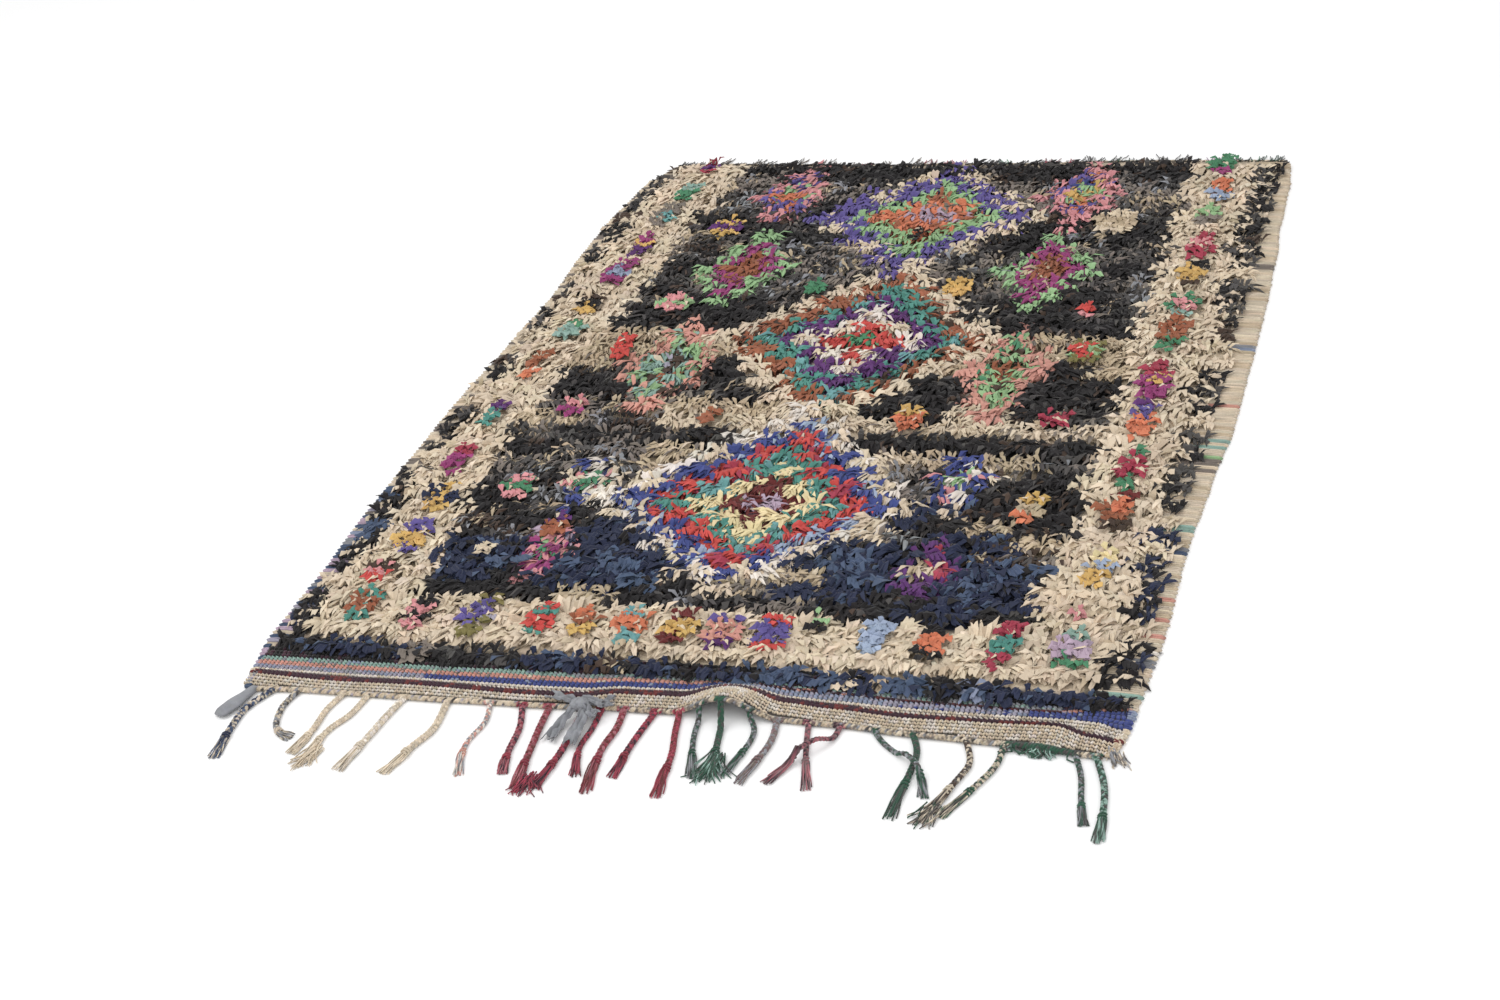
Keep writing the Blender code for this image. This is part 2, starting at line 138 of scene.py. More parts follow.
def linear(name):
    values = []
    for channel in dyes[name]:
        value = channel / 255
        values.append(value / 12.92 if value <= 0.04045 else ((value + 0.055) / 1.055) ** 2.4)
    grey = 0.25 * values[0] + 0.60 * values[1] + 0.15 * values[2]
    return [value * (1.0 - faded) + grey * faded for value in values]


# The cloth, as in the solids: sizes in metres, places as (across, along) from the near left corner
cloth = {
    "width": 1.300,
    "length": 1.820,
    "thick": 0.004,
    "nearBare": 0.106,
    "sunk": 0.0002,  # how far stitches and wefts lie in it
    "columns": 88,
    "bandRows": 30,
    "pileRows": 132,
}
buckle = {"across": 0.757, "halfWidth": 0.078, "height": 0.027, "depth": 0.076}


def table(fields, *rows):  # rows of measures, each field by its name; the last one may be left out
    row = namedtuple("row", fields, defaults=(None,))
    return [row(*values) for values in rows]


sideSections = table(
    "along left right",
    (0.00, 0.030, 0.017), (0.05, 0.018, 0.006), (0.12, 0.005, 0.003), (0.28, 0.002, -0.002),
    (0.46, -0.008, 0.003), (0.64, -0.010, -0.003), (0.82, -0.012, -0.012), (1.02, -0.005, -0.009),
    (1.22, 0.001, -0.006), (1.40, -0.009, 0.001), (1.54, -0.010, 0.011), (1.70, 0.000, 0.016),
    (1.82, 0.034, 0.028),
)
endSections = table(
    "across near far",
    (0.00, -0.006, 0.006), (0.15, 0.002, 0.000), (0.30, 0.004, 0.006), (0.46, 0.008, 0.012),
    (0.62, 0.016, 0.006), (0.78, 0.020, 0.008), (0.92, 0.017, 0.000), (1.02, 0.010, -0.002),
    (1.14, 0.006, 0.000), (1.30, -0.006, 0.004),
)


def smooth(share):
    share = min(1.0, max(0.0, share))
    return share * share * (3.0 - 2.0 * share)


def readTable(rows, where, column):  # eased value between two rows
    if where <= rows[0][0]:
        return getattr(rows[0], column)
    for low, high in zip(rows, rows[1:]):
        if where <= high[0]:
            share = smooth((where - low[0]) / (high[0] - low[0]))
            return getattr(low, column) * (1.0 - share) + getattr(high, column) * share
    return getattr(rows[-1], column)


def world(across, along, height=0.0):  # rug place to the frame's own coordinates
    return Vector((across - cloth["width"] / 2, along - cloth["length"] / 2, height))


def nearEdge(across):
    return readTable(endSections, across, "near")


def farEdge(across):
    return cloth["length"] - readTable(endSections, across, "far")


def leftEdge(along):
    return readTable(sideSections, along, "left")


def rightEdge(along):
    return cloth["width"] - readTable(sideSections, along, "right")


def lift(across, along):  # how high the buckle holds the cloth's underside
    offset = abs(across - buckle["across"]) / buckle["halfWidth"]
    depth = max(0.0, (along - nearEdge(across)) / buckle["depth"])
    if offset >= 1.0 or depth >= 1.0:
        return 0.0
    crest = math.cos(offset * math.pi / 2) ** 2
    return buckle["height"] * crest * math.cos(depth * math.pi / 2) ** 2


def noiseAt(across, along, pitch, seed, stretch=1.0):  # smooth, from -1 to 1
    return noise.noise(Vector((across / (pitch * stretch), along / pitch, seed)))


# The knotted pattern. Places are where a row of knots shows, which is just in front of its roots
rows = {
    "front": 0.100,
    "borderFirst": 0.141, "borderPitch": 0.034, "borderCount": 3,
    "fieldFirst": 0.253,
    "rootAhead": 0.017,
    "knotPitch": 0.0165,
}
rowGroups = ((7, 0.03814), (11, 0.04855), (16, 0.04450))  # how many field rows follow at each spacing
fieldPlaces = [rows["fieldFirst"]]
for howMany, pitch in rowGroups:
    for _ in range(howMany):
        fieldPlaces.append(fieldPlaces[-1] + pitch)

# Each row of the field from side to side: rag colours left and right of the middle
fieldRows = (
    ("black black black tan black charcoal", "black taupe black black navy black"),
    ("navy black navy navy slate black", "taupe navy navy black navy navy"),
    ("navy slate navy navy slate navy tan", "cream tan navy slate navy slate navy"),
    ("navy navy slate navy navy cream", "cream navy slate navy navy slate"),
    ("black brown navy navy navy cream", "cream navy navy navy navy brown"),
    ("brown black black navy black cream", "cream navy cream charcoal navy tan"),
    ("black charcoal black charcoal cream cream", "cream cream navy black tan black"),
    ("black charcoal charcoal black cream cream", "cream slate slate navy black black"),
    ("charcoal black charcoal tan cream cream", "cream cream taupe black black black"),
    ("charcoal taupe charcoal tan cream cream", "cream taupe taupe black charcoal black"),
    ("black charcoal taupe tan tan cream", "cream cream tan tan tan charcoal"),
    ("charcoal black taupe black black black", "cream black black black black black"),
    ("tan charcoal brown cream cream cream", "cream cream tan cream cream cream"),
    ("charcoal taupe tan tan tan black", "black black black cream black charcoal"),
    ("black black black charcoal black cream", "cream black black charcoal black black"),
    ("black charcoal charcoal black cream cream", "cream black black tan black black"),
    ("tan charcoal tan black tan cream", "cream tan tan tan black tan"),
    ("tan tan tan tan tan cream", "cream tan tan tan tan tan"),
    ("tan tan tan cream cream", "cream cream tan tan tan"),
    ("black black black tan cream", "cream tan black black black"),
    ("black black black charcoal cream", "cream cream black black charcoal"),
    ("charcoal black black charcoal cream", "cream charcoal black black charcoal"),
    ("black charcoal charcoal charcoal black", "charcoal taupe charcoal black charcoal"),
    ("charcoal taupe charcoal taupe black", "black charcoal taupe charcoal taupe"),
    ("black charcoal taupe charcoal taupe", "taupe charcoal charcoal charcoal black"),
    ("charcoal taupe charcoal taupe charcoal", "charcoal taupe charcoal taupe charcoal"),
    ("brown taupe charcoal taupe charcoal", "taupe charcoal black taupe charcoal"),
    ("charcoal black black black black", "black black black charcoal black"),
    ("black black charcoal black black", "black black black black black"),
    ("black charcoal black tan black", "black black taupe black charcoal"),
    ("charcoal taupe black taupe cream", "cream black taupe charcoal taupe"),
    ("charcoal black taupe taupe charcoal", "charcoal taupe taupe charcoal taupe"),
    ("taupe charcoal taupe charcoal black", "black taupe charcoal taupe charcoal"),
    ("taupe black black black charcoal", "charcoal black black charcoal black"),
    ("black black black black black", "black black black black black"),
)
fieldMiddle = 0.640
mottled = ("charcoal", "taupe", "brown")
blends = {  # how much of a knot is of its second colour
    "front": 0.20, "outer": 0.12, "great": 0.18, "small": 0.25, "border": 0.16,
    "mottled": 0.55, "navy": 0.30, "black": 0.25, "plain": 0.30, "spot": 0.03,
}

# Where the borders run: dark outer line, cream border, field
borderLines = table(
    "along outerLeft innerLeft innerRight outerRight rim",
    (0.10, 0.060, 0.200, 1.115, 1.240, 1.280), (0.25, 0.052, 0.198, 1.115, 1.246, 1.278),
    (0.40, 0.052, 0.170, 1.124, 1.244, 1.277), (0.55, 0.045, 0.150, 1.126, 1.240, 1.274),
    (0.75, 0.040, 0.140, 1.122, 1.238, 1.272), (0.95, 0.038, 0.150, 1.125, 1.240, 1.272),
    (1.15, 0.040, 0.172, 1.110, 1.236, 1.268), (1.35, 0.045, 0.185, 1.100, 1.228, 1.264),
    (1.55, 0.045, 0.190, 1.105, 1.218, 1.260), (1.80, 0.055, 0.196, 1.110, 1.214, 1.258),
)
leftGaps = (
    (0.215, 0.255), (0.295, 0.32), (0.58, 0.645), (0.80, 0.885), (0.96, 1.08), (1.27, 1.35),
    (1.42, 1.44),
)
rightGaps = (
    (0.245, 0.27), (0.425, 0.455), (0.515, 0.555), (0.735, 0.76), (0.81, 0.85), (1.0, 1.09),
    (1.29, 1.335),
)

# Great lozenges, a ring for each block of knots from the middle outwards
greatLozenges = table(
    "across row left right rings",
    (0.645, 7, 0.0440, 0.0375,
     ("lilac", "maroon", "paleYellow", "teal teal turquoise", "red red red crimson",
      "royal royal paleBlue", "cream white cream")),
    (0.652, 18, 0.0430, 0.0380,
     ("green", "red", "white cream", "purple", "teal teal turquoise", "rust rust brown", "cream")),
    (0.642, 29, 0.0430, 0.0400,
     ("lilac", "lilac orange taupe", "orange rust orange", "lightGreen", "violet", "violet cream violet")),
)

# Small lozenges: rings from the middle outwards, each with the share of the half-size where it ends
lozenges = table(
    "across along halfWidth halfHeight rings",
    (0.350, 1.320, 0.075, 0.165,
     ((0.12, "paleBlue rust"), (0.40, "rust"), (0.72, "magenta"), (1.00, "lightGreen"))),
    (0.912, 1.320, 0.078, 0.165,
     ((0.12, "rust"), (0.40, "rust tan"), (0.72, "magenta"), (1.00, "lightGreen"))),
    (0.345, 1.640, 0.068, 0.145,
     ((0.22, "mustard orange"), (0.50, "royal orange lightGreen"), (0.76, "violet pink"), (1.00, "pink"))),
    (0.912, 1.645, 0.078, 0.150,
     ((0.22, "mustard royal"), (0.50, "orange lightGreen mustard"), (0.76, "violet pink"), (1.00, "pink"))),
    (0.332, 0.945, 0.076, 0.170,
     ((0.14, "lavender cream"), (0.42, "rust brown seaGreen"), (0.74, "lightGreen seaGreen"),
      (1.00, "salmon"))),
    (0.925, 0.945, 0.072, 0.165,
     ((0.14, "cream rust"), (0.42, "rust brown"), (0.74, "lightGreen lightGreen green"), (1.00, "salmon"))),
    (0.340, 0.565, 0.052, 0.085,
     ((0.35, "green"), (0.70, "royal white pink"), (1.00, "white royal cream"))),
    (0.932, 0.600, 0.050, 0.098,
     ((0.35, "lightGreen white"), (0.70, "royal pink"), (1.00, "white royal cream"))),
    (0.345, 0.355, 0.050, 0.100,
     ((0.35, "lightGreen green"), (0.70, "magenta pink"), (1.00, "pink lilac"))),
    (0.940, 0.360, 0.048, 0.090, ((0.35, "tan cream"), (0.70, "crimson purple"), (1.00, "purple"))),
)

# Spots: small rosettes, their colours stacked from the far side to the near side
spots = table(
    "across along halfWidth halfHeight stack heart",
    (0.125, 0.188, 0.026, 0.036, "teal rust rust teal"),
    (0.222, 0.176, 0.025, 0.040, "black pink black pink"),
    (0.320, 0.178, 0.025, 0.044, "olive lavender olive", "violet"),
    (0.420, 0.180, 0.024, 0.042, "red teal red teal"), (0.484, 0.182, 0.022, 0.030, "orange rust mustard"),
    (0.560, 0.180, 0.027, 0.038, "turquoise orange turquoise", "orange"),
    (0.632, 0.180, 0.026, 0.036, "maroon mustard maroon", "mustard"),
    (0.700, 0.176, 0.028, 0.036, "violet salmon purple"),
    (0.772, 0.180, 0.028, 0.036, "red violet red", "violet"),
    (0.832, 0.214, 0.016, 0.020, "lightGreen black"),
    (0.918, 0.192, 0.027, 0.034, "paleBlue paleBlue", "paleBlue"),
    (1.002, 0.182, 0.025, 0.038, "black orange orange black"),
    (1.102, 0.190, 0.024, 0.056, "crimson crimson turquoise crimson crimson", "teal"),
    (1.190, 0.188, 0.030, 0.040, "seaGreen lilac green", "lilac"),
    (0.112, 0.276, 0.024, 0.026, "brown pink red"),
    (0.120, 0.376, 0.029, 0.046, "violet violet mustard violet"),
    (0.110, 0.492, 0.028, 0.036, "mustard navy mustard", "mustard"),
    (0.088, 0.612, 0.020, 0.046, "crimson magenta magenta"),
    (0.088, 0.760, 0.018, 0.042, "purple teal teal"), (0.092, 0.930, 0.014, 0.048, "rust rust orange"),
    (0.102, 1.066, 0.026, 0.026, "green seaGreen"), (0.106, 1.162, 0.026, 0.030, "brown black mustard"),
    (0.108, 1.290, 0.027, 0.046, "magenta pink magenta", "greyBlue"),
    (0.112, 1.412, 0.022, 0.050, "magenta mustard purple"),
    (0.110, 1.542, 0.026, 0.050, "taupe taupe taupe", "turquoise"),
    (0.120, 1.650, 0.025, 0.036, "seaGreen green"),
    (0.128, 1.768, 0.020, 0.032, "yarnCrimson purple crimson"), (1.184, 0.268, 0.010, 0.010, "pink"),
    (1.192, 0.388, 0.021, 0.044, "paleYellow paleBlue mustard"),
    (1.188, 0.540, 0.026, 0.048, "maroon rust rust brown", "orange"),
    (1.186, 0.650, 0.019, 0.056, "green crimson crimson green"),
    (1.178, 0.806, 0.024, 0.052, "purple violet orange orange"),
    (1.176, 0.928, 0.031, 0.056, "crimson magenta magenta", "mustard"),
    (1.176, 1.090, 0.021, 0.060, "rust rust green"),
    (1.176, 1.192, 0.030, 0.040, "green green seaGreen", "pink"),
    (1.172, 1.312, 0.024, 0.046, "black mustard brown", "mustard"),
    (1.170, 1.420, 0.024, 0.048, "crimson pink crimson"),
    (1.166, 1.542, 0.024, 0.042, "lightGreen taupe taupe", "lightGreen"),
    (1.172, 1.650, 0.024, 0.046, "orange orange paleBlue"),
    (1.156, 1.766, 0.026, 0.040, "green green magenta", "green"),
    (0.262, 1.487, 0.036, 0.030, "mustard purple mustard", "purple"),
    (0.265, 1.172, 0.032, 0.026, "pink lightGreen pink", "lightGreen"),
    (0.510, 1.240, 0.022, 0.022, "green"), (0.772, 1.246, 0.027, 0.028, "mustard mustard"),
    (1.020, 1.160, 0.015, 0.018, "red pink"), (1.000, 1.512, 0.042, 0.038, "cream tan cream"),
    (0.228, 1.006, 0.018, 0.040, "red red"), (1.045, 1.020, 0.030, 0.036, "olive lightGreen olive", "red"),
    (0.222, 0.790, 0.022, 0.022, "pink magenta"), (0.808, 0.782, 0.027, 0.030, "mustard orange"),
    (1.042, 0.794, 0.026, 0.017, "crimson"), (1.060, 0.530, 0.024, 0.034, "mustard tan orange"),
    (0.232, 0.532, 0.032, 0.032, "pink red green pink"), (0.256, 0.352, 0.013, 0.014, "cream"),
    (0.340, 0.428, 0.024, 0.024, "purple rust"), (0.648, 1.456, 0.014, 0.020, "black"),
    (0.475, 0.775, 0.018, 0.018, "rust"),
)

# Front row of the pile, from left to right
frontParts = table(
    "until names",
    (0.090, "black black navy"), (0.150, "charcoal navy black"), (0.240, "black navy black"),
    (0.285, "navy taupe black"), (0.430, "black black charcoal"), (0.530, "navy navy slate"),
    (0.590, "tan brown black"), (0.650, "navy navy black"), (0.690, "black"), (0.780, "slate navy slate"),
    (0.885, "slate slate navy"), (0.915, "cream"), (0.940, "navy"), (0.962, "tan"), (1.000, "slate slate"),
    (1.060, "navy black navy"), (1.110, "slate greyBlue navy"), (1.230, "navy navy slate"),
    (1.400, "black"),
)


def choose(names, chance):
    names = names.split()
    return names[max(0, min(len(names) - 1, int(chance * len(names))))]


def insideAny(value, spans):
    return any(low < value < high for low, high in spans)


def patchAt(across, along, pitch, seed):  # from 0 to 1, in patches
    return min(0.999, max(0.0, 0.5 + 0.75 * noiseAt(across, along, pitch, seed)))


def fieldRag(across, along, row, wobble):
    left, right = fieldRows[min(len(fieldRows) - 1, max(0, row))]
    edge = readTable(borderLines, along, "innerLeft" if across < fieldMiddle else "innerRight")
    share = (across - edge) / (fieldMiddle - edge) if across < fieldMiddle else (
        (across - fieldMiddle) / (edge - fieldMiddle))
    share += 1.6 * wobble + 0.10 * noiseAt(across, along, 0.03, 41.0)
    return choose(left if across < fieldMiddle else right, share)


def ragAt(across, along, row, dice):  # first and second colour of a knot, and its kind of tuft
    wobble = 0.008 * noiseAt(across, along, 0.05, 2.2)
    if row < 0 and along < 0.12:
        for part in frontParts:
            if across < part.until + wobble:
                name = choose(part.names, patchAt(across, along, 0.02, 3.0))
                second = choose("navy slate black", dice.random())
                return name, second, blends["front"], "flap" if name != "black" else "leaf"
    side = "left" if across < 0.6 else "right"
    outer = readTable(borderLines, along, "outerLeft" if side == "left" else "outerRight") + wobble
    if across < outer if side == "left" else across > outer:
        bare = insideAny(along, leftGaps if side == "left" else rightGaps)
        darks = "black black navy black slate" if along < 0.5 else "black black charcoal black brown"
        name = "cream" if bare else choose(darks, patchAt(across, along, 0.05, 12.5))
        return name, "tan" if bare else "cream", blends["outer"], "leaf"
    for shape in greatLozenges:
        offset = across - shape.across
        ring = abs(round(offset / (shape.left if offset < 0 else shape.right))) + abs(row - shape.row)
        if ring < len(shape.rings):
            names = shape.rings[ring]
            name = choose(names, patchAt(across, along, 0.045, 6.0 + ring))
            return name, choose(names, dice.random()), blends["great"], "petal"
    for shape in lozenges:
        reach = abs(across - shape.across) / shape.halfWidth + abs(along - shape.along) / shape.halfHeight
        for until, names in shape.rings:
            if reach < until + 0.02:
                name = choose(names, patchAt(across, along, 0.025, 8.0 + until))
                return name, choose(names, dice.random()), blends["small"], "petal"
    left = readTable(borderLines, along, "innerLeft") + wobble
    right = readTable(borderLines, along, "innerRight") + wobble
    if row < 0 or across < left or across > right:
        return "cream", "sand" if dice.random() < 0.4 else "paleCream", blends["border"], "leaf"
    name = fieldRag(across, along, row, wobble * 6)
    if name in mottled:
        second = choose("black taupe charcoal grey taupe tan black", dice.random())
        return name, second, blends["mottled"], "fine"
    if name in ("navy", "slate"):
        second = choose("navy slate black", dice.random())
        return name, second, blends["navy"], "flap" if dice.random() < 0.6 else "leaf"
    if name == "black":
        return name, choose("charcoal brown black", dice.random()), blends["black"], "leaf"
    return name, choose("taupe tan cream sand", dice.random()), blends["plain"], "fine"


def addNode(tree, kind, settings=None, **sockets):  # sockets by name, or by number as n0, n1
    made = tree.nodes.new(kind)
    for name, value in (settings or {}).items():
        setattr(made, name, value)
    for name, value in sockets.items():
        key = int(name[1:]) if name[0] == "n" and name[1:].isdigit() else name.replace("_", " ")
        value = getattr(value, "socket", value)
        if isinstance(value, bpy.types.NodeSocket):
            tree.links.new(value, made.inputs[key])
        else:
            made.inputs[key].default_value = value
    return made


# Shader maths as expressions
class Sum:
    def __init__(self, tree, socket):
        self.tree, self.socket = tree, socket

    def node(self, kind, settings=None, **sockets):
        return addNode(self.tree, kind, settings, **sockets)

    def maths(self, operation, first, second):
        made = self.node("ShaderNodeMath", {"operation": operation}, n0=first, n1=second)
        return Sum(self.tree, made.outputs[0])

    def __add__(self, other):
        return self.maths("ADD", self, other)

    def __radd__(self, other):
        return self.maths("ADD", other, self)

    def __sub__(self, other):
        return self.maths("SUBTRACT", self, other)

    def __mul__(self, other):
        return self.maths("MULTIPLY", self, other)

    def __rmul__(self, other):
        return self.maths("MULTIPLY", other, self)


def clothMaterial(name, look):  # woven or spun stuff that takes its colour from an attribute
    material = bpy.data.materials.new(name)
    material.use_nodes = True
    tree = material.node_tree
    shader = tree.nodes["Principled BSDF"]
    start = Sum(tree, None)

    def attribute(label, output):
        return Sum(tree, start.node("ShaderNodeAttribute", {"attribute_name": label}).outputs[output])

    place = Sum(tree, start.node("ShaderNodeTexCoord").outputs["Object"])
    colour, shade = attribute("dye", "Color"), attribute("shade", "Fac")
    if look.get("mixed"):
        other = attribute("otherDye", "Color")
        blend, strip = attribute("blend", "Fac"), attribute("strip", "Fac")
        chosen = blend.maths("GREATER_THAN", blend, strip)
        mixing = start.node("ShaderNodeMix", {"data_type": "RGBA"}, n0=chosen, n6=colour, n7=other)
        colour = Sum(tree, mixing.outputs[2])
    wear = start.node("ShaderNodeTexNoise", Vector=place, Scale=look["wearScale"], Detail=3.0)
    fleck = start.node("ShaderNodeTexNoise", Vector=place, Scale=look["fleckScale"], Detail=2.0)
    wear, fleck = Sum(tree, wear.outputs["Fac"]), Sum(tree, fleck.outputs["Fac"])
    # the shade attribute brings painted shade and light into the colour where a mesh has it (tuft roots,
    # stitch ends, rag tie) and random tone elsewhere; wear and fleck vary the colour at random
    gain = shade * (1.0 + look["wear"] * (wear - 0.5) + look["fleck"] * (fleck - 0.5))
    grey = start.node("ShaderNodeCombineXYZ", X=gain, Y=gain, Z=gain).outputs[0]
    tinted = start.node("ShaderNodeVectorMath", {"operation": "MULTIPLY"}, n0=colour, n1=grey)
    tree.links.new(tinted.outputs[0], shader.inputs["Base Color"])
    rough = look["rough"] + 0.12 * (fleck - 0.5)
    tree.links.new(rough.socket, shader.inputs["Roughness"])
    weave = start.node("ShaderNodeTexNoise", Vector=place, Scale=look["weaveScale"], Detail=2.0)
    height = Sum(tree, weave.outputs["Fac"]) + 0.6 * fleck
    bump = start.node("ShaderNodeBump", Strength=look["bump"], Distance=look["depth"], Height=height)
    tree.links.new(bump.outputs["Normal"], shader.inputs["Normal"])
    shader.inputs["Sheen Weight"].default_value = look["sheen"]
    shader.inputs["Sheen Roughness"].default_value = 0.5
    shader.inputs["Specular IOR Level"].default_value = 0.18
    return material


pileLook = {
    "wearScale": 60.0, "wear": 0.35, "fleckScale": 420.0, "fleck": 0.22, "weaveScale": 1100.0,
    "bump": 0.5, "depth": 0.0006, "rough": 0.9, "sheen": 0.10, "mixed": True,
}
ragLook = {
    "wearScale": 60.0, "wear": 0.5, "fleckScale": 420.0, "fleck": 0.28, "weaveScale": 1100.0,
    "bump": 0.55, "depth": 0.0006, "rough": 0.88, "sheen": 0.12,
}
weaveLook = {
    "wearScale": 45.0, "wear": 0.35, "fleckScale": 500.0, "fleck": 0.5, "weaveScale": 900.0,
    "bump": 0.7, "depth": 0.0008, "rough": 0.93, "sheen": 0.08,
}
yarnLook = {
    "wearScale": 90.0, "wear": 0.4, "fleckScale": 700.0, "fleck": 0.8, "weaveScale": 1500.0,
    "bump": 0.8, "depth": 0.0008, "rough": 0.92, "sheen": 0.20,
}
ragPile = clothMaterial("rag_pile_cloth", pileLook)
ragCloth = clothMaterial("rag_cloth", ragLook)
weftCotton = clothMaterial("weft_cotton", weaveLook)
woolYarn = clothMaterial("wool_yarn", yarnLook)
print("stage 2: materials made")


def meshObject(name, mesh, home=None):
    thing = bpy.data.objects.new(name, mesh)
    (home or bpy.context.scene.collection).objects.link(thing)
    return thing


def fromBmesh(name, shape):
    mesh = bpy.data.meshes.new(name)
    shape.to_mesh(mesh)
    shape.free()
    return mesh


def triangles(thing):
    return sum(len(face.vertices) - 2 for face in thing.data.polygons)


def setAttribute(mesh, name, kind, values):
    layer = mesh.attributes.new(name, kind, "POINT")
    key = {"FLOAT": "value", "INT": "value", "FLOAT_COLOR": "color", "FLOAT_VECTOR": "vector"}[kind]
    layer.data.foreach_set(key, values)


def flat(rows):
    return [value for row in rows for value in row]


# Tufts: the strips of rag that one knot holds, in layers that fan out in front of it and behind
stripLayer = namedtuple("stripLayer", "count heading spread reach width rise tip")
tuftStyles = {
    "fine": {"count": 8, "folds": 1, "twist": 22.0, "ends": (0.0, 1.0, 0.50), "layers": (
        stripLayer(8, 0, 95, 0.031, 0.0068, 0.0065, 0.60),
        stripLayer(7, 0, 75, 0.028, 0.0064, 0.0110, 0.80),
        stripLayer(4, 180, 100, 0.022, 0.0064, 0.0095, 0.85),
    )},
    "petal": {"count": 10, "folds": 1, "twist": 24.0, "ends": (0.50, 1.0, 0.48), "layers": (
        stripLayer(8, 0, 84, 0.035, 0.0088, 0.0070, 0.60),
        stripLayer(7, 0, 66, 0.031, 0.0080, 0.0115, 0.80),
        stripLayer(3, 180, 90, 0.022, 0.0086, 0.0100, 0.85),
    )},
    "leaf": {"count": 10, "folds": 1, "twist": 18.0, "ends": (0.50, 1.0, 0.42), "layers": (
        stripLayer(5, 0, 115, 0.034, 0.0108, 0.0070, 0.60),
        stripLayer(5, 0, 92, 0.031, 0.0098, 0.0105, 0.80),
        stripLayer(3, 0, 75, 0.026, 0.0088, 0.0135, 0.85),
        stripLayer(3, 180, 100, 0.022, 0.0092, 0.0100, 0.85),
    )},
    "flap": {"count": 6, "folds": 2, "twist": 24.0, "ends": (0.0, 1.0, 0.70), "layers": (
        stripLayer(4, 0, 150, 0.033, 0.0150, 0.0080, 0.60),
        stripLayer(4, 0, 110, 0.028, 0.0130, 0.0130, 0.75),
        stripLayer(2, 180, 120, 0.020, 0.0120, 0.0100, 0.80),
    )},
    "spot": {"count": 6, "folds": 2, "twist": 20.0, "ends": (0.0, 1.0, 0.55), "layers": (
        stripLayer(3, 0, 170, 0.0190, 0.0126, 0.0065, 0.70),
        stripLayer(3, 0, 110, 0.0170, 0.0112, 0.0100, 0.75),
        stripLayer(1, 180, 80, 0.0130, 0.0110, 0.0080, 0.70),
    )},
}
stripForm = {  # from the least to the most, as shares of the layer's size or in metres
    "reach": (0.75, 1.15), "width": (0.70, 1.25), "rise": (0.75, 1.25), "sway": (-0.28, 0.28),
    "fold": 0.17, "tone": (0.88, 1.08), "bend": (0.48, 0.66),
    "rootAhead": (-0.006, 0.005), "rootBeside": (-0.0095, 0.0095),
}
sections = {  # across the strip: side and height of each fold, as shares of its half-width
    1: ((1.0, 0.0), (0.0, 1.0), (-1.0, 0.0)),
    2: ((1.0, 0.0), (0.55, 1.0), (0.05, 0.15), (-0.5, 0.85), (-1.0, 0.0)),
}


def ringOf(shape, marks, middle, frameOf, sizes, look, dice):  # one cross-section of a strip
    across, upward, ahead = frameOf
    half, fold, skew = sizes
    tone, strip, folds = look
    corners = [middle]
    if half >= 0.0001:
        corners = []
        for side, height in sections[folds]:
            point = middle + across * half * side + upward * fold * height * dice.uniform(0.7, 1.2)
            corners.append(point + ahead * skew * side)
    ring = []
    for point in corners:
        point.z = max(point.z, 0.0004)
        corner = shape.verts.new(point)
        # the shade attribute: the strip's random tone times its painted shade from root to tip
        corner[marks[0]] = tone
        corner[marks[1]] = strip
        ring.append(corner)
    return ring


def addStrip(shape, marks, layer, turn, style, dice):  # a folded strip of rag, closed
    away = abs(math.cos(turn - math.radians(layer.heading)))
    reach = layer.reach * (0.72 + 0.28 * away) * dice.uniform(*stripForm["reach"])
    width = layer.width * dice.uniform(*stripForm["width"])
    rise = layer.rise * dice.uniform(*stripForm["rise"])
    sway = reach * dice.uniform(*stripForm["sway"])
    roll = math.radians(style["twist"]) * dice.uniform(-0.6, 0.6)
    twist = math.radians(style["twist"]) * dice.uniform(-1.0, 1.0)
    fold = stripForm["fold"] * dice.choice((1.0, 1.0, -0.7)) * dice.uniform(0.7, 1.3)
    tone, strip = dice.uniform(*stripForm["tone"]), dice.random()
    ahead = Vector((math.cos(turn), math.sin(turn), 0.0))
    beside = Vector((-ahead.y, ahead.x, 0.0))
    root = Vector((dice.uniform(*stripForm["rootAhead"]), dice.uniform(*stripForm["rootBeside"]), 0.0))
    places = (0.0, dice.uniform(*stripForm["bend"]), 1.0)
    rings = []
    for step, share in enumerate(places):
        middle = root + ahead * reach * share + beside * sway * share * share
        middle.z = rise * (0.35, 1.0, layer.tip)[step]
        angle = roll + twist * share
        across = beside * math.cos(angle) + Vector((0, 0, 1)) * math.sin(angle)
        upward = Vector((0, 0, 1)) * math.cos(angle) - beside * math.sin(angle)
        skew = reach * dice.uniform(*stripForm["sway"]) * (0.1, 0.4, 1.0)[step]
        sizes = (0.5 * width * style["ends"][step], width * fold, skew)
        # painted shade: each strip is painted a little darker at its root and lighter at its tip, where
        # strips lie over one another; its tone otherwise differs at random
        look = (tone * (0.97, 1.0, 1.03)[step], strip, style["folds"])
        rings.append(ringOf(shape, marks, middle, (across, upward, ahead), sizes, look, dice))
    for low, high in zip(rings, rings[1:]):
        sides = max(len(low), len(high))
        for side in range(sides):
            after = (side + 1) % sides
            corners = [low[side % len(low)], low[after % len(low)]]
            corners += [high[after % len(high)], high[side % len(high)]]
            shape.faces.new(dict.fromkeys(corners))  # a ring of one corner gives triangles
    for ring in (rings[0][::-1], rings[-1]):
        if len(ring) > 1:
            shape.faces.new(ring)


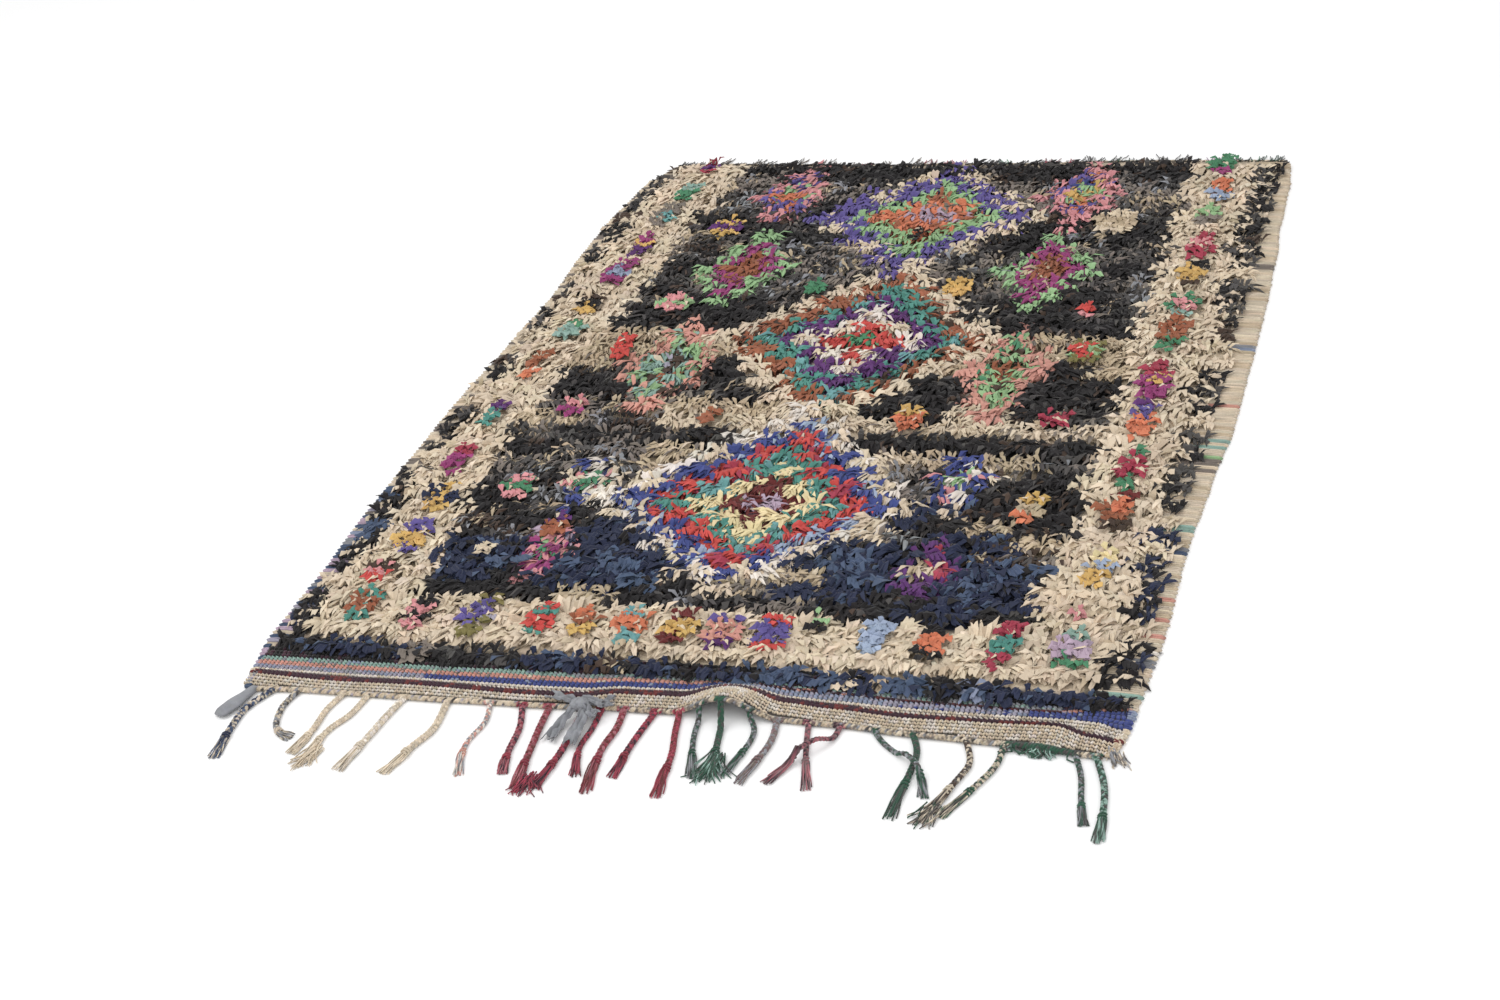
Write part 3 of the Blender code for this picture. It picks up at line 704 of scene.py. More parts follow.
def makeTufts():
    shelf = bpy.data.collections.new("tufts")
    bpy.context.scene.collection.children.link(shelf)
    kinds = {}
    dice = random.Random(seeds["tufts"])
    number = 0
    for styleName, style in tuftStyles.items():
        kinds[styleName] = []
        for _ in range(style["count"]):
            shape = bmesh.new()
            marks = (shape.verts.layers.float.new("shade"), shape.verts.layers.float.new("strip"))
            for layer in style["layers"]:
                for index in range(layer.count):
                    share = (index + 0.5) / layer.count - 0.5 + dice.uniform(-0.35, 0.35) / layer.count
                    turn = math.radians(layer.heading + layer.spread * share)
                    addStrip(shape, marks, layer, turn, style, dice)
            bmesh.ops.recalc_face_normals(shape, faces=shape.faces)
            meshObject(f"tuft{number:02d}", fromBmesh(f"tuft{number:02d}", shape), shelf)
            kinds[styleName].append(number)
            number += 1
    return shelf, kinds


def newTree(name, **sockets):
    tree = bpy.data.node_groups.new(name, "GeometryNodeTree")
    tree.interface.new_socket("Geometry", in_out="INPUT", socket_type="NodeSocketGeometry")
    tree.interface.new_socket("Geometry", in_out="OUTPUT", socket_type="NodeSocketGeometry")
    for label, kind in sockets.items():
        tree.interface.new_socket(label, in_out="INPUT", socket_type=f"NodeSocket{kind}")
    return tree, tree.nodes.new("NodeGroupInput").outputs


def named(tree, label, kind):
    made = addNode(tree, "GeometryNodeInputNamedAttribute", {"data_type": kind}, Name=label)
    return made.outputs["Attribute"]


def closeTree(tree, geometry, stuff):  # every tree ends in real geometry with its material
    real = addNode(tree, "GeometryNodeRealizeInstances", Geometry=geometry)
    dressed = addNode(tree, "GeometryNodeSetMaterial", Geometry=real.outputs["Geometry"], Material=stuff)
    addNode(tree, "NodeGroupOutput", Geometry=dressed.outputs["Geometry"])
    return tree


def scatterTree():  # sets a shape from a shelf on every point, turned and scaled by attributes
    tree, start = newTree("setOutShapes", Shapes="Collection", Size="Float", Stuff="Material")
    shapes = addNode(tree, "GeometryNodeCollectionInfo", Collection=start["Shapes"],
                     Separate_Children=True, Reset_Children=True)
    turned = addNode(tree, "FunctionNodeEulerToRotation", Euler=named(tree, "turn", "FLOAT_VECTOR"))
    sized = addNode(tree, "ShaderNodeVectorMath", {"operation": "SCALE"},
                    n0=named(tree, "grow", "FLOAT_VECTOR"), Scale=start["Size"])
    placed = addNode(tree, "GeometryNodeInstanceOnPoints", Points=start["Geometry"],
                     Instance=shapes.outputs["Instances"], Pick_Instance=True,
                     Instance_Index=named(tree, "kind", "INT"), Rotation=turned.outputs["Rotation"],
                     Scale=sized.outputs["Vector"])
    return closeTree(tree, placed.outputs["Instances"], start["Stuff"])


def tubeTree():  # makes yarn of the thickness in an attribute along every edge path
    tree, start = newTree("spinYarn", Sides="Int", Thickness="Float", Stuff="Material")
    paths = addNode(tree, "GeometryNodeMeshToCurve", Mesh=start["Geometry"])
    scale = addNode(tree, "ShaderNodeMath", {"operation": "MULTIPLY"},
                    n0=named(tree, "thick", "FLOAT"), n1=start["Thickness"])
    ring = addNode(tree, "GeometryNodeCurvePrimitiveCircle", {"mode": "RADIUS"},
                   Resolution=start["Sides"], Radius=0.5)
    tube = addNode(tree, "GeometryNodeCurveToMesh", Curve=paths.outputs["Curve"],
                   Profile_Curve=ring.outputs["Curve"], Scale=scale.outputs[0], Fill_Caps=True)
    return closeTree(tree, tube.outputs["Mesh"], start["Stuff"])


scatter = scatterTree()
spin = tubeTree()


def runTree(thing, tree, values):  # applies the tree and leaves a plain mesh
    modifier = thing.modifiers.new(tree.name, "NODES")
    modifier.node_group = tree
    for item in tree.interface.items_tree:
        if item.in_out == "INPUT" and item.name in values:
            modifier[item.identifier] = values[item.name]
    bpy.context.view_layer.update()
    depsgraph = bpy.context.evaluated_depsgraph_get()
    mesh = bpy.data.meshes.new_from_object(thing.evaluated_get(depsgraph))
    thing.modifiers.clear()
    old = thing.data
    thing.data = mesh
    bpy.data.meshes.remove(old)
    mesh.name = thing.name
    return thing


def setOut(name, places, shelf, size, stuff):  # places: (place, kind, turn, grow, colour, other, blend)
    mesh = bpy.data.meshes.new(name)
    mesh.from_pydata([row[0] for row in places], [], [])
    setAttribute(mesh, "kind", "INT", [row[1] for row in places])
    setAttribute(mesh, "turn", "FLOAT_VECTOR", flat(row[2] for row in places))
    setAttribute(mesh, "grow", "FLOAT_VECTOR", flat(row[3] for row in places))
    setAttribute(mesh, "dye", "FLOAT_COLOR", flat(row[4] for row in places))
    if len(places[0]) > 5:
        setAttribute(mesh, "otherDye", "FLOAT_COLOR", flat(row[5] for row in places))
        setAttribute(mesh, "blend", "FLOAT", [row[6] for row in places])
    return runTree(meshObject(name, mesh), scatter, {"Shapes": shelf, "Size": size, "Stuff": stuff})


def dyed(name, dice, spread=0.12, gain=1.0):  # a colour with a little variation, as a row of four
    bright = gain * (1.0 + dice.gauss(0.0, spread))
    channels = [value * bright * (1.0 + dice.gauss(0.0, 0.012)) for value in linear(name)]
    return [min(1.0, max(0.0, value)) for value in channels] + [1.0]


# Knots of the pile, row by row
pile = {
    "jitter": 0.0030,
    "waver": 0.0060,  # how far a row wanders from straight
    "lean": -92.0,  # degrees: the strips lie towards the near end
    "leanSpread": 14.0,
    "blockTurn": 38.0,  # the three knots of one colour lean together, left or right
    "base": 0.0040,
    "spotLift": 0.0095, "spotAcross": 0.0135, "spotAlong": 0.0185,
    "spotReach": 0.0080,  # how far a spot's strips lie past its outer knots
    "spotSpread": 42.0, "spotClear": 0.80,
    "swirl": 26.0, "tilt": 5,
    "block": 3, "fromLeft": 0.021, "fromRim": 0.002,
    "rimWidth": 0.05, "leftTurn": 42.0, "rightTurn": 26.0, "rimShrink": 0.22,  # strips turn in at the rim
    "frontRoot": 0.007, "frontSize": 0.84,
    "turnedBack": 0.45,  # share of the border's last row that lies the other way
    "seed": 5,
}
pileAreas = (("pile_near_border", 0.345), ("pile_field_near", 0.70), ("pile_field_middle", 1.06),
             ("pile_field_far", 1.42), ("pile_far_end", 2.0))


def pileArea(along):
    for name, until in pileAreas:
        if along < until:
            return name
    return pileAreas[-1][0]


def rowPlaces():  # where each row shows, with the number of its row in the field, or -1
    places = [(rows["front"], -1)]
    places += [(rows["borderFirst"] + rows["borderPitch"] * step, -1) for step in range(rows["borderCount"])]
    return places + [(place, number) for number, place in enumerate(fieldPlaces)]


def knotTurn(dice, across, along, lean, spread):
    swirl = pile["swirl"] * noiseAt(across, along, 0.07, 20.0)
    heading = lean + dice.gauss(0.0, spread) + swirl
    tilts = [math.radians(dice.gauss(0, pile["tilt"])) for _ in range(2)]
    return (*tilts, math.radians(heading))


def fromHeart(spot, across, along):  # distance from a spot's middle, 1 at its rim
    return math.hypot((across - spot.across) / spot.halfWidth, (along - spot.along) / spot.halfHeight)


def knot(style, kinds, dice, place, turn, size, names, blend, gain):
    grow = (size * dice.uniform(0.9, 1.1), size * dice.uniform(0.9, 1.15), size * dice.uniform(0.8, 1.2))
    kind = dice.choice(kinds[style])
    first, second = [dyed(name, dice, 0.05, gain) for name in names]
    return (place, kind, turn, grow, first, second, blend)


def raiseOff(thing, floor):  # keeps what would sink into the floor on it
    for point in thing.data.vertices:
        point.co.z = max(point.co.z, floor)


def plantKnots(kinds):
    dice = random.Random(pile["seed"])
    areas = {name: [] for name, _ in pileAreas}
    for shown, row in rowPlaces():
        left = leftEdge(shown) + pile["fromLeft"]
        right = readTable(borderLines, shown, "rim") - pile["fromRim"]
        count = round((right - left) / rows["knotPitch"])
        together = 0.0
        for number in range(count + 1):
            if number % pile["block"] == 0:
                together = pile["blockTurn"] * dice.choice((-1, 1)) * dice.uniform(0.15, 1.0)
            x = left + (right - left) * number / count + dice.uniform(-1, 1) * pile["jitter"]
            waver = pile["waver"] * noiseAt(x, shown, 0.16, 50.0)
            y = shown + waver + dice.uniform(-1, 1) * pile["jitter"]
            if any(fromHeart(spot, x, y) < pile["spotClear"] for spot in spots):
                continue
            first, second, blend, style = ragAt(x, shown + waver * 0.3, row, dice)
            rooted = min(y + rows["rootAhead"], farEdge(x) - 0.010)
            fromEdge = min(x - left, right - x)
            inward = smooth(1.0 - fromEdge / pile["rimWidth"]) * (1.0 if x < 0.6 else -1.0)
            rimTurn = pile["leftTurn" if x < 0.6 else "rightTurn"]
            lean = pile["lean"] + together * (1.0 - abs(inward)) + rimTurn * inward
            size = dice.uniform(0.9, 1.12) * (1.0 + 0.10 * noiseAt(x, y, 0.06, 61.0))
            size *= 1.0 - pile["rimShrink"] * abs(inward)
            if shown < 0.12:
                rooted, size = y + pile["frontRoot"], size * pile["frontSize"]
            if 0.20 < shown < 0.235 and dice.random() < pile["turnedBack"]:
                lean += 180.0
                rooted = y + 0.004
            gain = 1.0 + 0.10 * noiseAt(x, y, 0.10, 31.0)
            place = world(x, rooted, pile["base"] + lift(x, rooted))
            turn = knotTurn(dice, x, y, lean, pile["leanSpread"])
            made = knot(style, kinds, dice, place, turn, size, (first, second), blend, gain)
            areas[pileArea(y)].append(made)
    return areas


def plantSpots(areas, kinds):
    dice = random.Random(pile["seed"] + 1)
    for spot in spots:
        names = spot.stack.split()
        steps = max(1, round(2 * spot.halfHeight / pile["spotAlong"]))
        for step in range(steps):
            share = (step + 0.5) / steps
            y = spot.along + spot.halfHeight * (1.0 - 2.0 * share)
            wide = max(0.007, spot.halfWidth - pile["spotReach"])
            reach = wide * math.sqrt(max(0.15, 1.0 - (1.0 - 2.0 * share) ** 2))
            count = max(1, round(2 * reach / pile["spotAcross"]))
            for number in range(count):
                x = spot.across + reach * ((number + 0.5) / count * 2 - 1) + dice.uniform(-0.002, 0.002)
                name = names[min(len(names) - 1, int(share * len(names)))]
                if spot.heart and fromHeart(spot, x, y) < 0.5:
                    name = spot.heart
                place = world(x, y + 0.010, pile["base"] + pile["spotLift"])
                turn = knotTurn(dice, x, y, pile["lean"], pile["spotSpread"])
                size = dice.uniform(0.90, 1.15)
                made = knot("spot", kinds, dice, place, turn, size, (name, "cream"), blends["spot"], 1.0)
                areas[pileArea(y)].append(made)


shelf, tuftKinds = makeTufts()
knotAreas = plantKnots(tuftKinds)
plantSpots(knotAreas, tuftKinds)
pilePieces = []
for areaName, knots in knotAreas.items():
    piece = setOut(areaName, knots, shelf, 1.0, ragPile)
    piece.data.shade_flat()
    raiseOff(piece, 0.0012)
    pilePieces.append(piece)
    print(f"stage 3: {areaName} has {len(knots)} knots and {triangles(piece)} triangles")


# The woven ground: one sheet, coloured under the pile like the knots on it, and painted darker as painted
# shade where it shows between the tufts and the stitches
def groundColourAndShade(across, along, dice):
    edge = along - nearEdge(across)
    if edge < cloth["nearBare"] - 0.004:
        # painted shade: the bare end's ground is a dark taupe at 0.30 brightness, so the gaps between the
        # stitches on it read as shaded holes
        return dyed("taupe", dice, 0.05, 0.30)
    inside = leftEdge(along) + 0.02 < across < readTable(borderLines, along, "rim")
    if inside and along < farEdge(across) - 0.02:
        row = min(range(len(fieldPlaces)), key=lambda number: abs(fieldPlaces[number] - along))
        row = row if along > 0.235 else -1
        name = ragAt(across, along, row, dice)[0]
        # painted shade: under coloured knots the ground is 0.75 as bright as their rag, so the gaps between
        # tufts read as shaded; under cream it keeps full brightness
        return dyed(name, dice, 0.08, 1.0 if name == "cream" else 0.75)
    # painted shade: the rest of the ground, at the margins and the far end, is cream at 0.8 brightness where
    # it shows between strips and wefts
    return dyed("cream", dice, 0.06, 0.8)


def groundRows():  # shares of the length, closer together in the bare end
    end = cloth["nearBare"] / cloth["length"]
    rows = [end * step / cloth["bandRows"] for step in range(cloth["bandRows"])]
    return rows + [end + (1 - end) * step / cloth["pileRows"] for step in range(cloth["pileRows"] + 1)]


def makeGround():
    dice = random.Random(seeds["ground"])
    shares = groundRows()
    columns = cloth["columns"]
    shape = bmesh.new()
    bmesh.ops.create_grid(shape, x_segments=columns, y_segments=len(shares) - 1, size=0.5)
    shape.verts.ensure_lookup_table()
    dyeLayer = shape.verts.layers.float_color.new("dye")
    shadeLayer = shape.verts.layers.float.new("shade")
    for point in shape.verts:
        share = shares[round((point.co.y + 0.5) * (len(shares) - 1))]
        nominal = share * cloth["length"]
        left, right = leftEdge(nominal), rightEdge(nominal)
        across = left + (right - left) * (point.co.x + 0.5)
        along = nearEdge(across) + (farEdge(across) - nearEdge(across)) * share
        point.co = world(across, along, lift(across, along))
        point[dyeLayer] = groundColourAndShade(across, along, dice)
        point[shadeLayer] = 1.0
    ground = meshObject("woven_ground", fromBmesh("woven_ground", shape))
    ground.data.materials.append(weftCotton)
    ground.data.shade_smooth()
    thicken = ground.modifiers.new("thickness", "SOLIDIFY")
    thicken.thickness = cloth["thick"] - 0.001
    thicken.offset = 1.0
    return ground


ground = makeGround()
print("stage 4: woven ground made")

# Stitched stripes of the bare end: where each one starts, going inwards from the edge
bandLines = table(
    "across maroon pale blue salmon teal dark",
    (0.02, 0.027, 0.034, 0.041, 0.050, 0.060, 0.069), (0.15, 0.023, 0.031, 0.042, 0.051, 0.061, 0.072),
    (0.30, 0.028, 0.036, 0.045, 0.055, 0.064, 0.074), (0.45, 0.026, 0.034, 0.047, 0.060, 0.070, 0.080),
    (0.53, 0.029, 0.038, 0.050, 0.062, 0.072, 0.082), (0.60, 0.044, 0.052, 0.061, 0.072, 0.080, 0.090),
    (0.68, 0.047, 0.056, 0.064, 0.075, 0.083, 0.092), (0.76, 0.064, 0.071, 0.078, 0.086, 0.091, 0.097),
    (0.83, 0.052, 0.060, 0.067, 0.079, 0.085, 0.092), (0.90, 0.046, 0.054, 0.064, 0.077, 0.083, 0.090),
    (1.00, 0.039, 0.046, 0.060, 0.072, 0.076, 0.090), (1.10, 0.042, 0.047, 0.060, 0.072, 0.076, 0.088),
    (1.20, 0.046, 0.050, 0.062, 0.073, 0.076, 0.086), (1.25, 0.028, 0.033, 0.060, 0.084, 0.091, 0.096),
    (1.285, 0.020, 0.025, 0.048, 0.088, 0.092, 0.096),
)
stripe = namedtuple("stripe", "low high courses parts")  # no courses: knitted rows, as many as fit
stripes = (
    stripe("edge", "maroon", 0, ((0.42, "cream ecru white cream"), (9.0, "ecru cream white cream"))),
    stripe("maroon", "pale", 1, ((9.0, "maroon aubergine maroon"),)),
    stripe("pale", "blue", 0, ((0.40, "ecru white cream"), (9.0, "ecru white cream"))),
    stripe("blue", "salmon", 2, (
        (0.29, "greyBlue lavender grey"), (0.74, "royal royal greyBlue"), (0.95, "lavender greyBlue grey"),
        (1.16, "greyBlue lavender royal"), (9.0, "royal royal greyBlue"))),
    stripe("salmon", "teal", 2, (
        (0.74, "taupe salmon salmon ecru"), (0.95, "salmon aubergine lavender"),
        (1.20, "maroon aubergine lavender"), (9.0, "salmon lavender"))),
    stripe("teal", "dark", 2, (
        (0.50, "grey seaGreen seaGreen greyBlue"), (0.74, "seaGreen grey greyBlue"),
        (0.95, "aubergine seaGreen"), (1.20, "seaGreen grey greyBlue"), (9.0, "navy aubergine"))),
    stripe("dark", "pile", 2, ((9.0, "aubergine black black"),)),
)
bandStitch = {"pitch": 0.0070, "rise": 0.0070, "long": 1.04, "wide": 0.90, "height": 0.0092, "slant": 26.0,
              "knitSlant": 60.0, "bold": 1.35, "boldHeight": 1.5}


def bandPlace(name, across):
    if name == "edge":
        return nearEdge(across) + 0.0015
    if name == "pile":
        return nearEdge(across) + cloth["nearBare"]
    return readTable(bandLines, across, name)


def stitchColour(row, course, across, dice):
    names = next(names for until, names in row.parts if across < until)
    patch = 0.45 + 0.50 * noiseAt(across, course * 0.01, 0.022, 40.0 + len(row.low)) + dice.gauss(0.0, 0.12)
    return choose(names, patch)


def makeStitchShape():
    home = bpy.data.collections.new("stitches")
    bpy.context.scene.collection.children.link(home)
    shape = bmesh.new()
    shadeLayer = shape.verts.layers.float.new("shade")
    bmesh.ops.create_cone(shape, cap_ends=True, segments=4, radius1=0.30, radius2=0.30, depth=0.5)
    for cap in [face for face in shape.faces if len(face.verts) == 4 and abs(face.normal.z) > 0.9]:
        bmesh.ops.poke(shape, faces=[cap], offset=0.22)
    for point in shape.verts:
        x, y, z = point.co
        point.co = Vector((z, y, x))
        # painted shade and light: each stitch is painted dark at its two ends, where stitches meet and the
        # holes between them lie, and a little brighter than its colour in the middle
        point[shadeLayer] = 1.06 if abs(z) < 0.3 else 0.50
    bmesh.ops.recalc_face_normals(shape, faces=shape.faces)
    meshObject("stitch00", fromBmesh("stitch00", shape), home)
    return home


def slope(heightAt, place, near=0.004):  # rise over run, measured a little to each side
    return (heightAt(place + near) - heightAt(place - near)) / (2 * near)


def makeBand(home):
    dice = random.Random(seeds["band"])
    stitches = []
    first, last = leftEdge(0.05) + 0.004, rightEdge(0.05) - 0.004
    count = round((last - first) / bandStitch["pitch"])
    pitch = (last - first) / count
    for row in stripes:
        places = [line.across for line in bandLines]
        widest = max(bandPlace(row.high, place) - bandPlace(row.low, place) for place in places)
        for course in range(row.courses or math.ceil(widest / bandStitch["rise"])):
            for leg in range(2 * count):
                across = first + pitch * (leg + 0.5) / 2 + dice.uniform(-0.0003, 0.0003)
                low, high = bandPlace(row.low, across), bandPlace(row.high, across)
                sign = 1 if leg % 2 else -1
                rising = slope(lambda x: bandPlace(row.low, x), across)
                if row.courses:
                    thick = (high - low) / row.courses
                    bold = bandStitch["bold"] if row.low == "maroon" else 1.0
                    along = low + thick * (course + 0.5 + 0.22 * bold * sign)
                    across += 0.18 * pitch * sign
                    heading = math.atan(rising) + math.radians(-sign * bandStitch["slant"] * bold)
                    size = (pitch * 1.15 * bold, thick * 0.66 * bold ** 2 * 1.6)
                else:
                    thick = bandStitch["rise"]
                    along = high - thick * (course + 0.5)
                    if course and along - 0.1 * thick < low:
                        continue
                    heading = math.atan(rising) + math.radians(sign * bandStitch["knitSlant"])
                    size = (thick * bandStitch["long"], pitch * 0.5 * bandStitch["wide"] * 1.6)
                slopeX = slope(lambda x: lift(x, along), across)
                slopeY = slope(lambda y: lift(across, y), along)
                turn = (math.atan(slopeY), -math.atan(slopeX), heading + math.radians(dice.gauss(0, 4)))
                swell = dice.uniform(0.92, 1.10)
                tall = bandStitch["height"] * (bandStitch["boldHeight"] if row.low == "maroon" else 1.0)
                grow = (size[0] * swell, size[1] * swell, tall)
                place = world(across, along, lift(across, along) + cloth["thick"] - cloth["sunk"])
                colour = dyed(stitchColour(row, course, across, dice), dice, 0.08)
                stitches.append((place, 0, turn, grow, colour))
    return setOut("stitched_end", stitches, home, 1.0, woolYarn)


stitchShelf = makeStitchShape()
band = makeBand(stitchShelf)
band.data.shade_smooth()
print(f"stage 5: stitched end has {len(band.data.polygons)} faces")

# Yarn paths: each is a list of (place, thickness) with one colour row
yarnPaths = {}


def addPath(piece, points, colour, shade=1.0):
    yarnPaths.setdefault(piece, []).append((points, colour, shade))


def spinPiece(name, sides, stuff=None):
    verts, edges, thick, dye, shades = [], [], [], [], []
    for points, colour, shade in yarnPaths[name]:
        base = len(verts)
        for index, (place, width) in enumerate(points):
            verts.append(place)
            thick.append(width)
            dye.extend(colour[index % len(colour)] if isinstance(colour[0], list) else colour)
            shades.append(shade)
        edges.extend((base + step, base + step + 1) for step in range(len(points) - 1))
    mesh = bpy.data.meshes.new(name)
    mesh.from_pydata(verts, edges, [])
    setAttribute(mesh, "thick", "FLOAT", thick)
    setAttribute(mesh, "dye", "FLOAT_COLOR", dye)
    setAttribute(mesh, "shade", "FLOAT", shades)
    values = {"Sides": sides, "Thickness": 1.0, "Stuff": stuff or woolYarn}
    piece = runTree(meshObject(name, mesh), spin, values)
    piece.data.shade_smooth()
    return piece


# Selvedges: weft ribs that turn round the cloth's long edges
weftParts = table(
    "until names",
    (0.022, "sand ecru"), (0.050, "ecru cream"), (0.086, "royal royal greyBlue"), (0.096, "salmon ecru"),
    (0.118, "ecru sand grey"), (0.136, "sand seaGreen ecru"), (0.180, "cream ecru sand"),
    (0.205, "slate grey"), (0.255, "ecru grey white"), (0.300, "ecru salmon cream"),
    (0.335, "ecru seaGreen grey"), (0.370, "ecru salmon"), (0.420, "taupe tan sand"), (0.450, "cream sand"),
    (0.480, "slate grey"), (0.508, "ecru salmon"), (0.560, "ecru seaGreen cream"), (0.680, "cream ecru"),
    (0.722, "taupe sand"), (0.756, "lightGreen ecru seaGreen"), (0.830, "ecru seaGreen"), (0.856, "cream"),
    (0.868, "slate"), (0.940, "ecru salmon cream"), (1.015, "cream ecru"), (1.085, "greyBlue grey ecru"),
    (1.355, "cream ecru"), (1.380, "taupe sand"), (1.900, "cream ecru"),
)
selvedge = {"pitch": 0.0098, "thick": 0.0048, "leftReach": 0.034, "rightReach": 0.060,
            "bareReach": 0.008, "out": (0.0006, 0.0030)}
leftNear = "taupe lavender grey slate lilac ecru greyBlue charcoal"
leftFar = "sand cream ecru taupe cream sand"


def weftColour(along, dice):
    for part in weftParts:
        if along < part.until:
            dull = along > 0.09 and dice.random() < 0.45
            return choose("ecru cream sand" if dull else part.names, dice.random())
    return "cream"


def layWefts():  # pairs of yarns that turn round at the edge
    dice = random.Random(seeds["wefts"])
    along = nearEdge(0.0) + 0.008
    while along < cloth["length"] - 0.008:
        for side in (-1, 1):
            edge = leftEdge(along) if side < 0 else rightEdge(along)
            bareEnd = along < cloth["nearBare"]
            y = along + (readTable(endSections, edge, "near") if bareEnd else 0.0)
            if y > farEdge(edge) - 0.004:
                continue
            reach = selvedge["leftReach"] if side < 0 else selvedge["rightReach"]
            reach = selvedge["bareReach"] if bareEnd else reach
            out = edge + side * dice.uniform(*selvedge["out"])
            half = selvedge["pitch"] * 0.25
            thick = selvedge["thick"] * dice.uniform(0.90, 1.12)
            top = cloth["thick"] - cloth["sunk"] + dice.uniform(-0.0003, 0.0006)
            slip = dice.uniform(-0.0008, 0.0008)
            points = []
            reach += 0.006 * noiseAt(0.0, y, 0.02, 71.0)
            for share, offset in ((1.0, -1), (0.5, -1), (0.05, -1), (0.0, 0), (0.05, 1), (0.5, 1), (1.0, 1)):
                x = out if offset == 0 else edge - side * reach * share
                height = 0.0029 if share < 0.1 else top
                points.append((world(x, y + half * offset + slip * (share - 0.5), height), thick))
            leftNames = leftNear if y < 0.55 else leftFar
            name = weftColour(y, dice) if side > 0 else choose(leftNames, patchAt(0.0, y, 0.03, 15.0))
            addPath("selvedge_wefts", points, [dyed(name, dice, 0.10, 0.95) for _ in range(7)])
        along += selvedge["pitch"]


layWefts()
selvedges = spinPiece("selvedge_wefts", 5, weftCotton)
print("stage 6: selvedges woven")

# The edge cord and the plaits, on the routes of the solids
cord = {"thick": 0.0090, "gap": 0.0006, "end": 0.012, "pitch": 0.013, "strand": 0.0052,
        "clumpAcross": 1.190, "clumpHalfWidth": 0.045, "clumpSwell": 0.45}
corner = 0.62  # half the diagonal of a solid strand's square section, as a share of its width


def halfSide(width):
    return width * corner * math.cos(math.pi / 4)


def cordWidth(across):
    nearness = 1.0 - abs(across - cord["clumpAcross"]) / cord["clumpHalfWidth"]
    return cord["thick"] * (1.0 + cord["clumpSwell"] * smooth(nearness))


def cordMiddle(across):
    half = halfSide(cordWidth(across))
    edge = nearEdge(across)
    return world(across, edge - cord["gap"] - half, lift(across, edge) + half)


plaits = table(
    "root knee shin tip thick yarns over",
    (0.078, (0.058, -0.054), (0.060, -0.104), (0.068, -0.166), 0.0090, "navy slate ecru"),
    (0.118, (0.112, -0.045), (0.128, -0.092), (0.160, -0.108), 0.0080, "ecru grey charcoal"),
    (0.190, (0.182, -0.042), (0.184, -0.090), (0.176, -0.142), 0.0080, "ecru ecru cream"),
    (0.228, (0.223, -0.048), (0.207, -0.090), (0.201, -0.166), 0.0080, "ecru cream ecru"),
    (0.285, (0.278, -0.050), (0.273, -0.100), (0.262, -0.168), 0.0090, "ecru ecru white"),
    (0.352, (0.360, -0.062), (0.348, -0.104), (0.330, -0.166), 0.0090, "ecru ecru cream"),
    (0.416, (0.427, -0.040), (0.421, -0.092), (0.438, -0.156), 0.0065, "salmon white grey"),
    (0.465, (0.482, -0.046), (0.488, -0.098), (0.497, -0.144), 0.0080, "yarnCrimson aubergine yarnPink"),
    (0.506, (0.511, -0.046), (0.519, -0.104), (0.527, -0.172), 0.0085, "yarnCrimson maroon yarnPink"),
    (0.557, (0.560, -0.048), (0.561, -0.102), (0.553, -0.168), 0.0085, "yarnCrimson crimson aubergine"),
    (0.583, (0.585, -0.036), (0.584, -0.080), (0.600, -0.136), 0.0070, "yarnCrimson aubergine crimson"),
    (0.614, (0.619, -0.032), (0.616, -0.080), (0.625, -0.168), 0.0085, "yarnCrimson maroon yarnPink"),
    (0.660, (0.655, -0.032), (0.652, -0.074), (0.651, -0.132), 0.0080, "yarnCrimson aubergine crimson"),
    (0.694, (0.703, -0.030), (0.716, -0.084), (0.722, -0.164), 0.0080, "yarnCrimson maroon crimson"),
    (0.725, (0.729, -0.022), (0.737, -0.056), (0.757, -0.118), 0.0070, "yarnGreen charcoal grey"),
    (0.757, (0.763, -0.018), (0.769, -0.050), (0.778, -0.104), 0.0080, "yarnGreen yarnGreen charcoal"),
    (0.793, (0.808, -0.010), (0.810, -0.044), (0.797, -0.108), 0.0070, "yarnGreen grey charcoal"),
    (0.832, (0.838, -0.020), (0.836, -0.056), (0.820, -0.122), 0.0080, "yarnTaupe taupe grey"),
    (0.877, (0.884, -0.018), (0.893, -0.052), (0.914, -0.122), 0.0070, "yarnTaupe yarnPink aubergine"),
    (0.921, (0.917, -0.018), (0.889, -0.050), (0.856, -0.116), 0.0070, "yarnTaupe aubergine yarnPink",
     (0.897, -0.044)),
    (0.968, (0.990, -0.018), (1.046, -0.066), (1.068, -0.118), 0.0070, "yarnGreen grey charcoal",
     (1.038, -0.058)),
    (1.022, (1.036, -0.030), (1.038, -0.075), (1.034, -0.164), 0.0080, "yarnGreen yarnGreen charcoal"),
    (1.093, (1.108, -0.040), (1.101, -0.078), (1.073, -0.164), 0.0075, "ecru brown charcoal"),
    (1.143, (1.143, -0.040), (1.128, -0.084), (1.096, -0.150), 0.0075, "yarnGreen ecru charcoal"),
    (1.236, (1.252, -0.048), (1.262, -0.096), (1.273, -0.142), 0.0070, "yarnGreen grey charcoal"),
    (1.264, (1.283, -0.060), (1.292, -0.108), (1.297, -0.172), 0.0080, "yarnGreen seaGreen charcoal"),
)
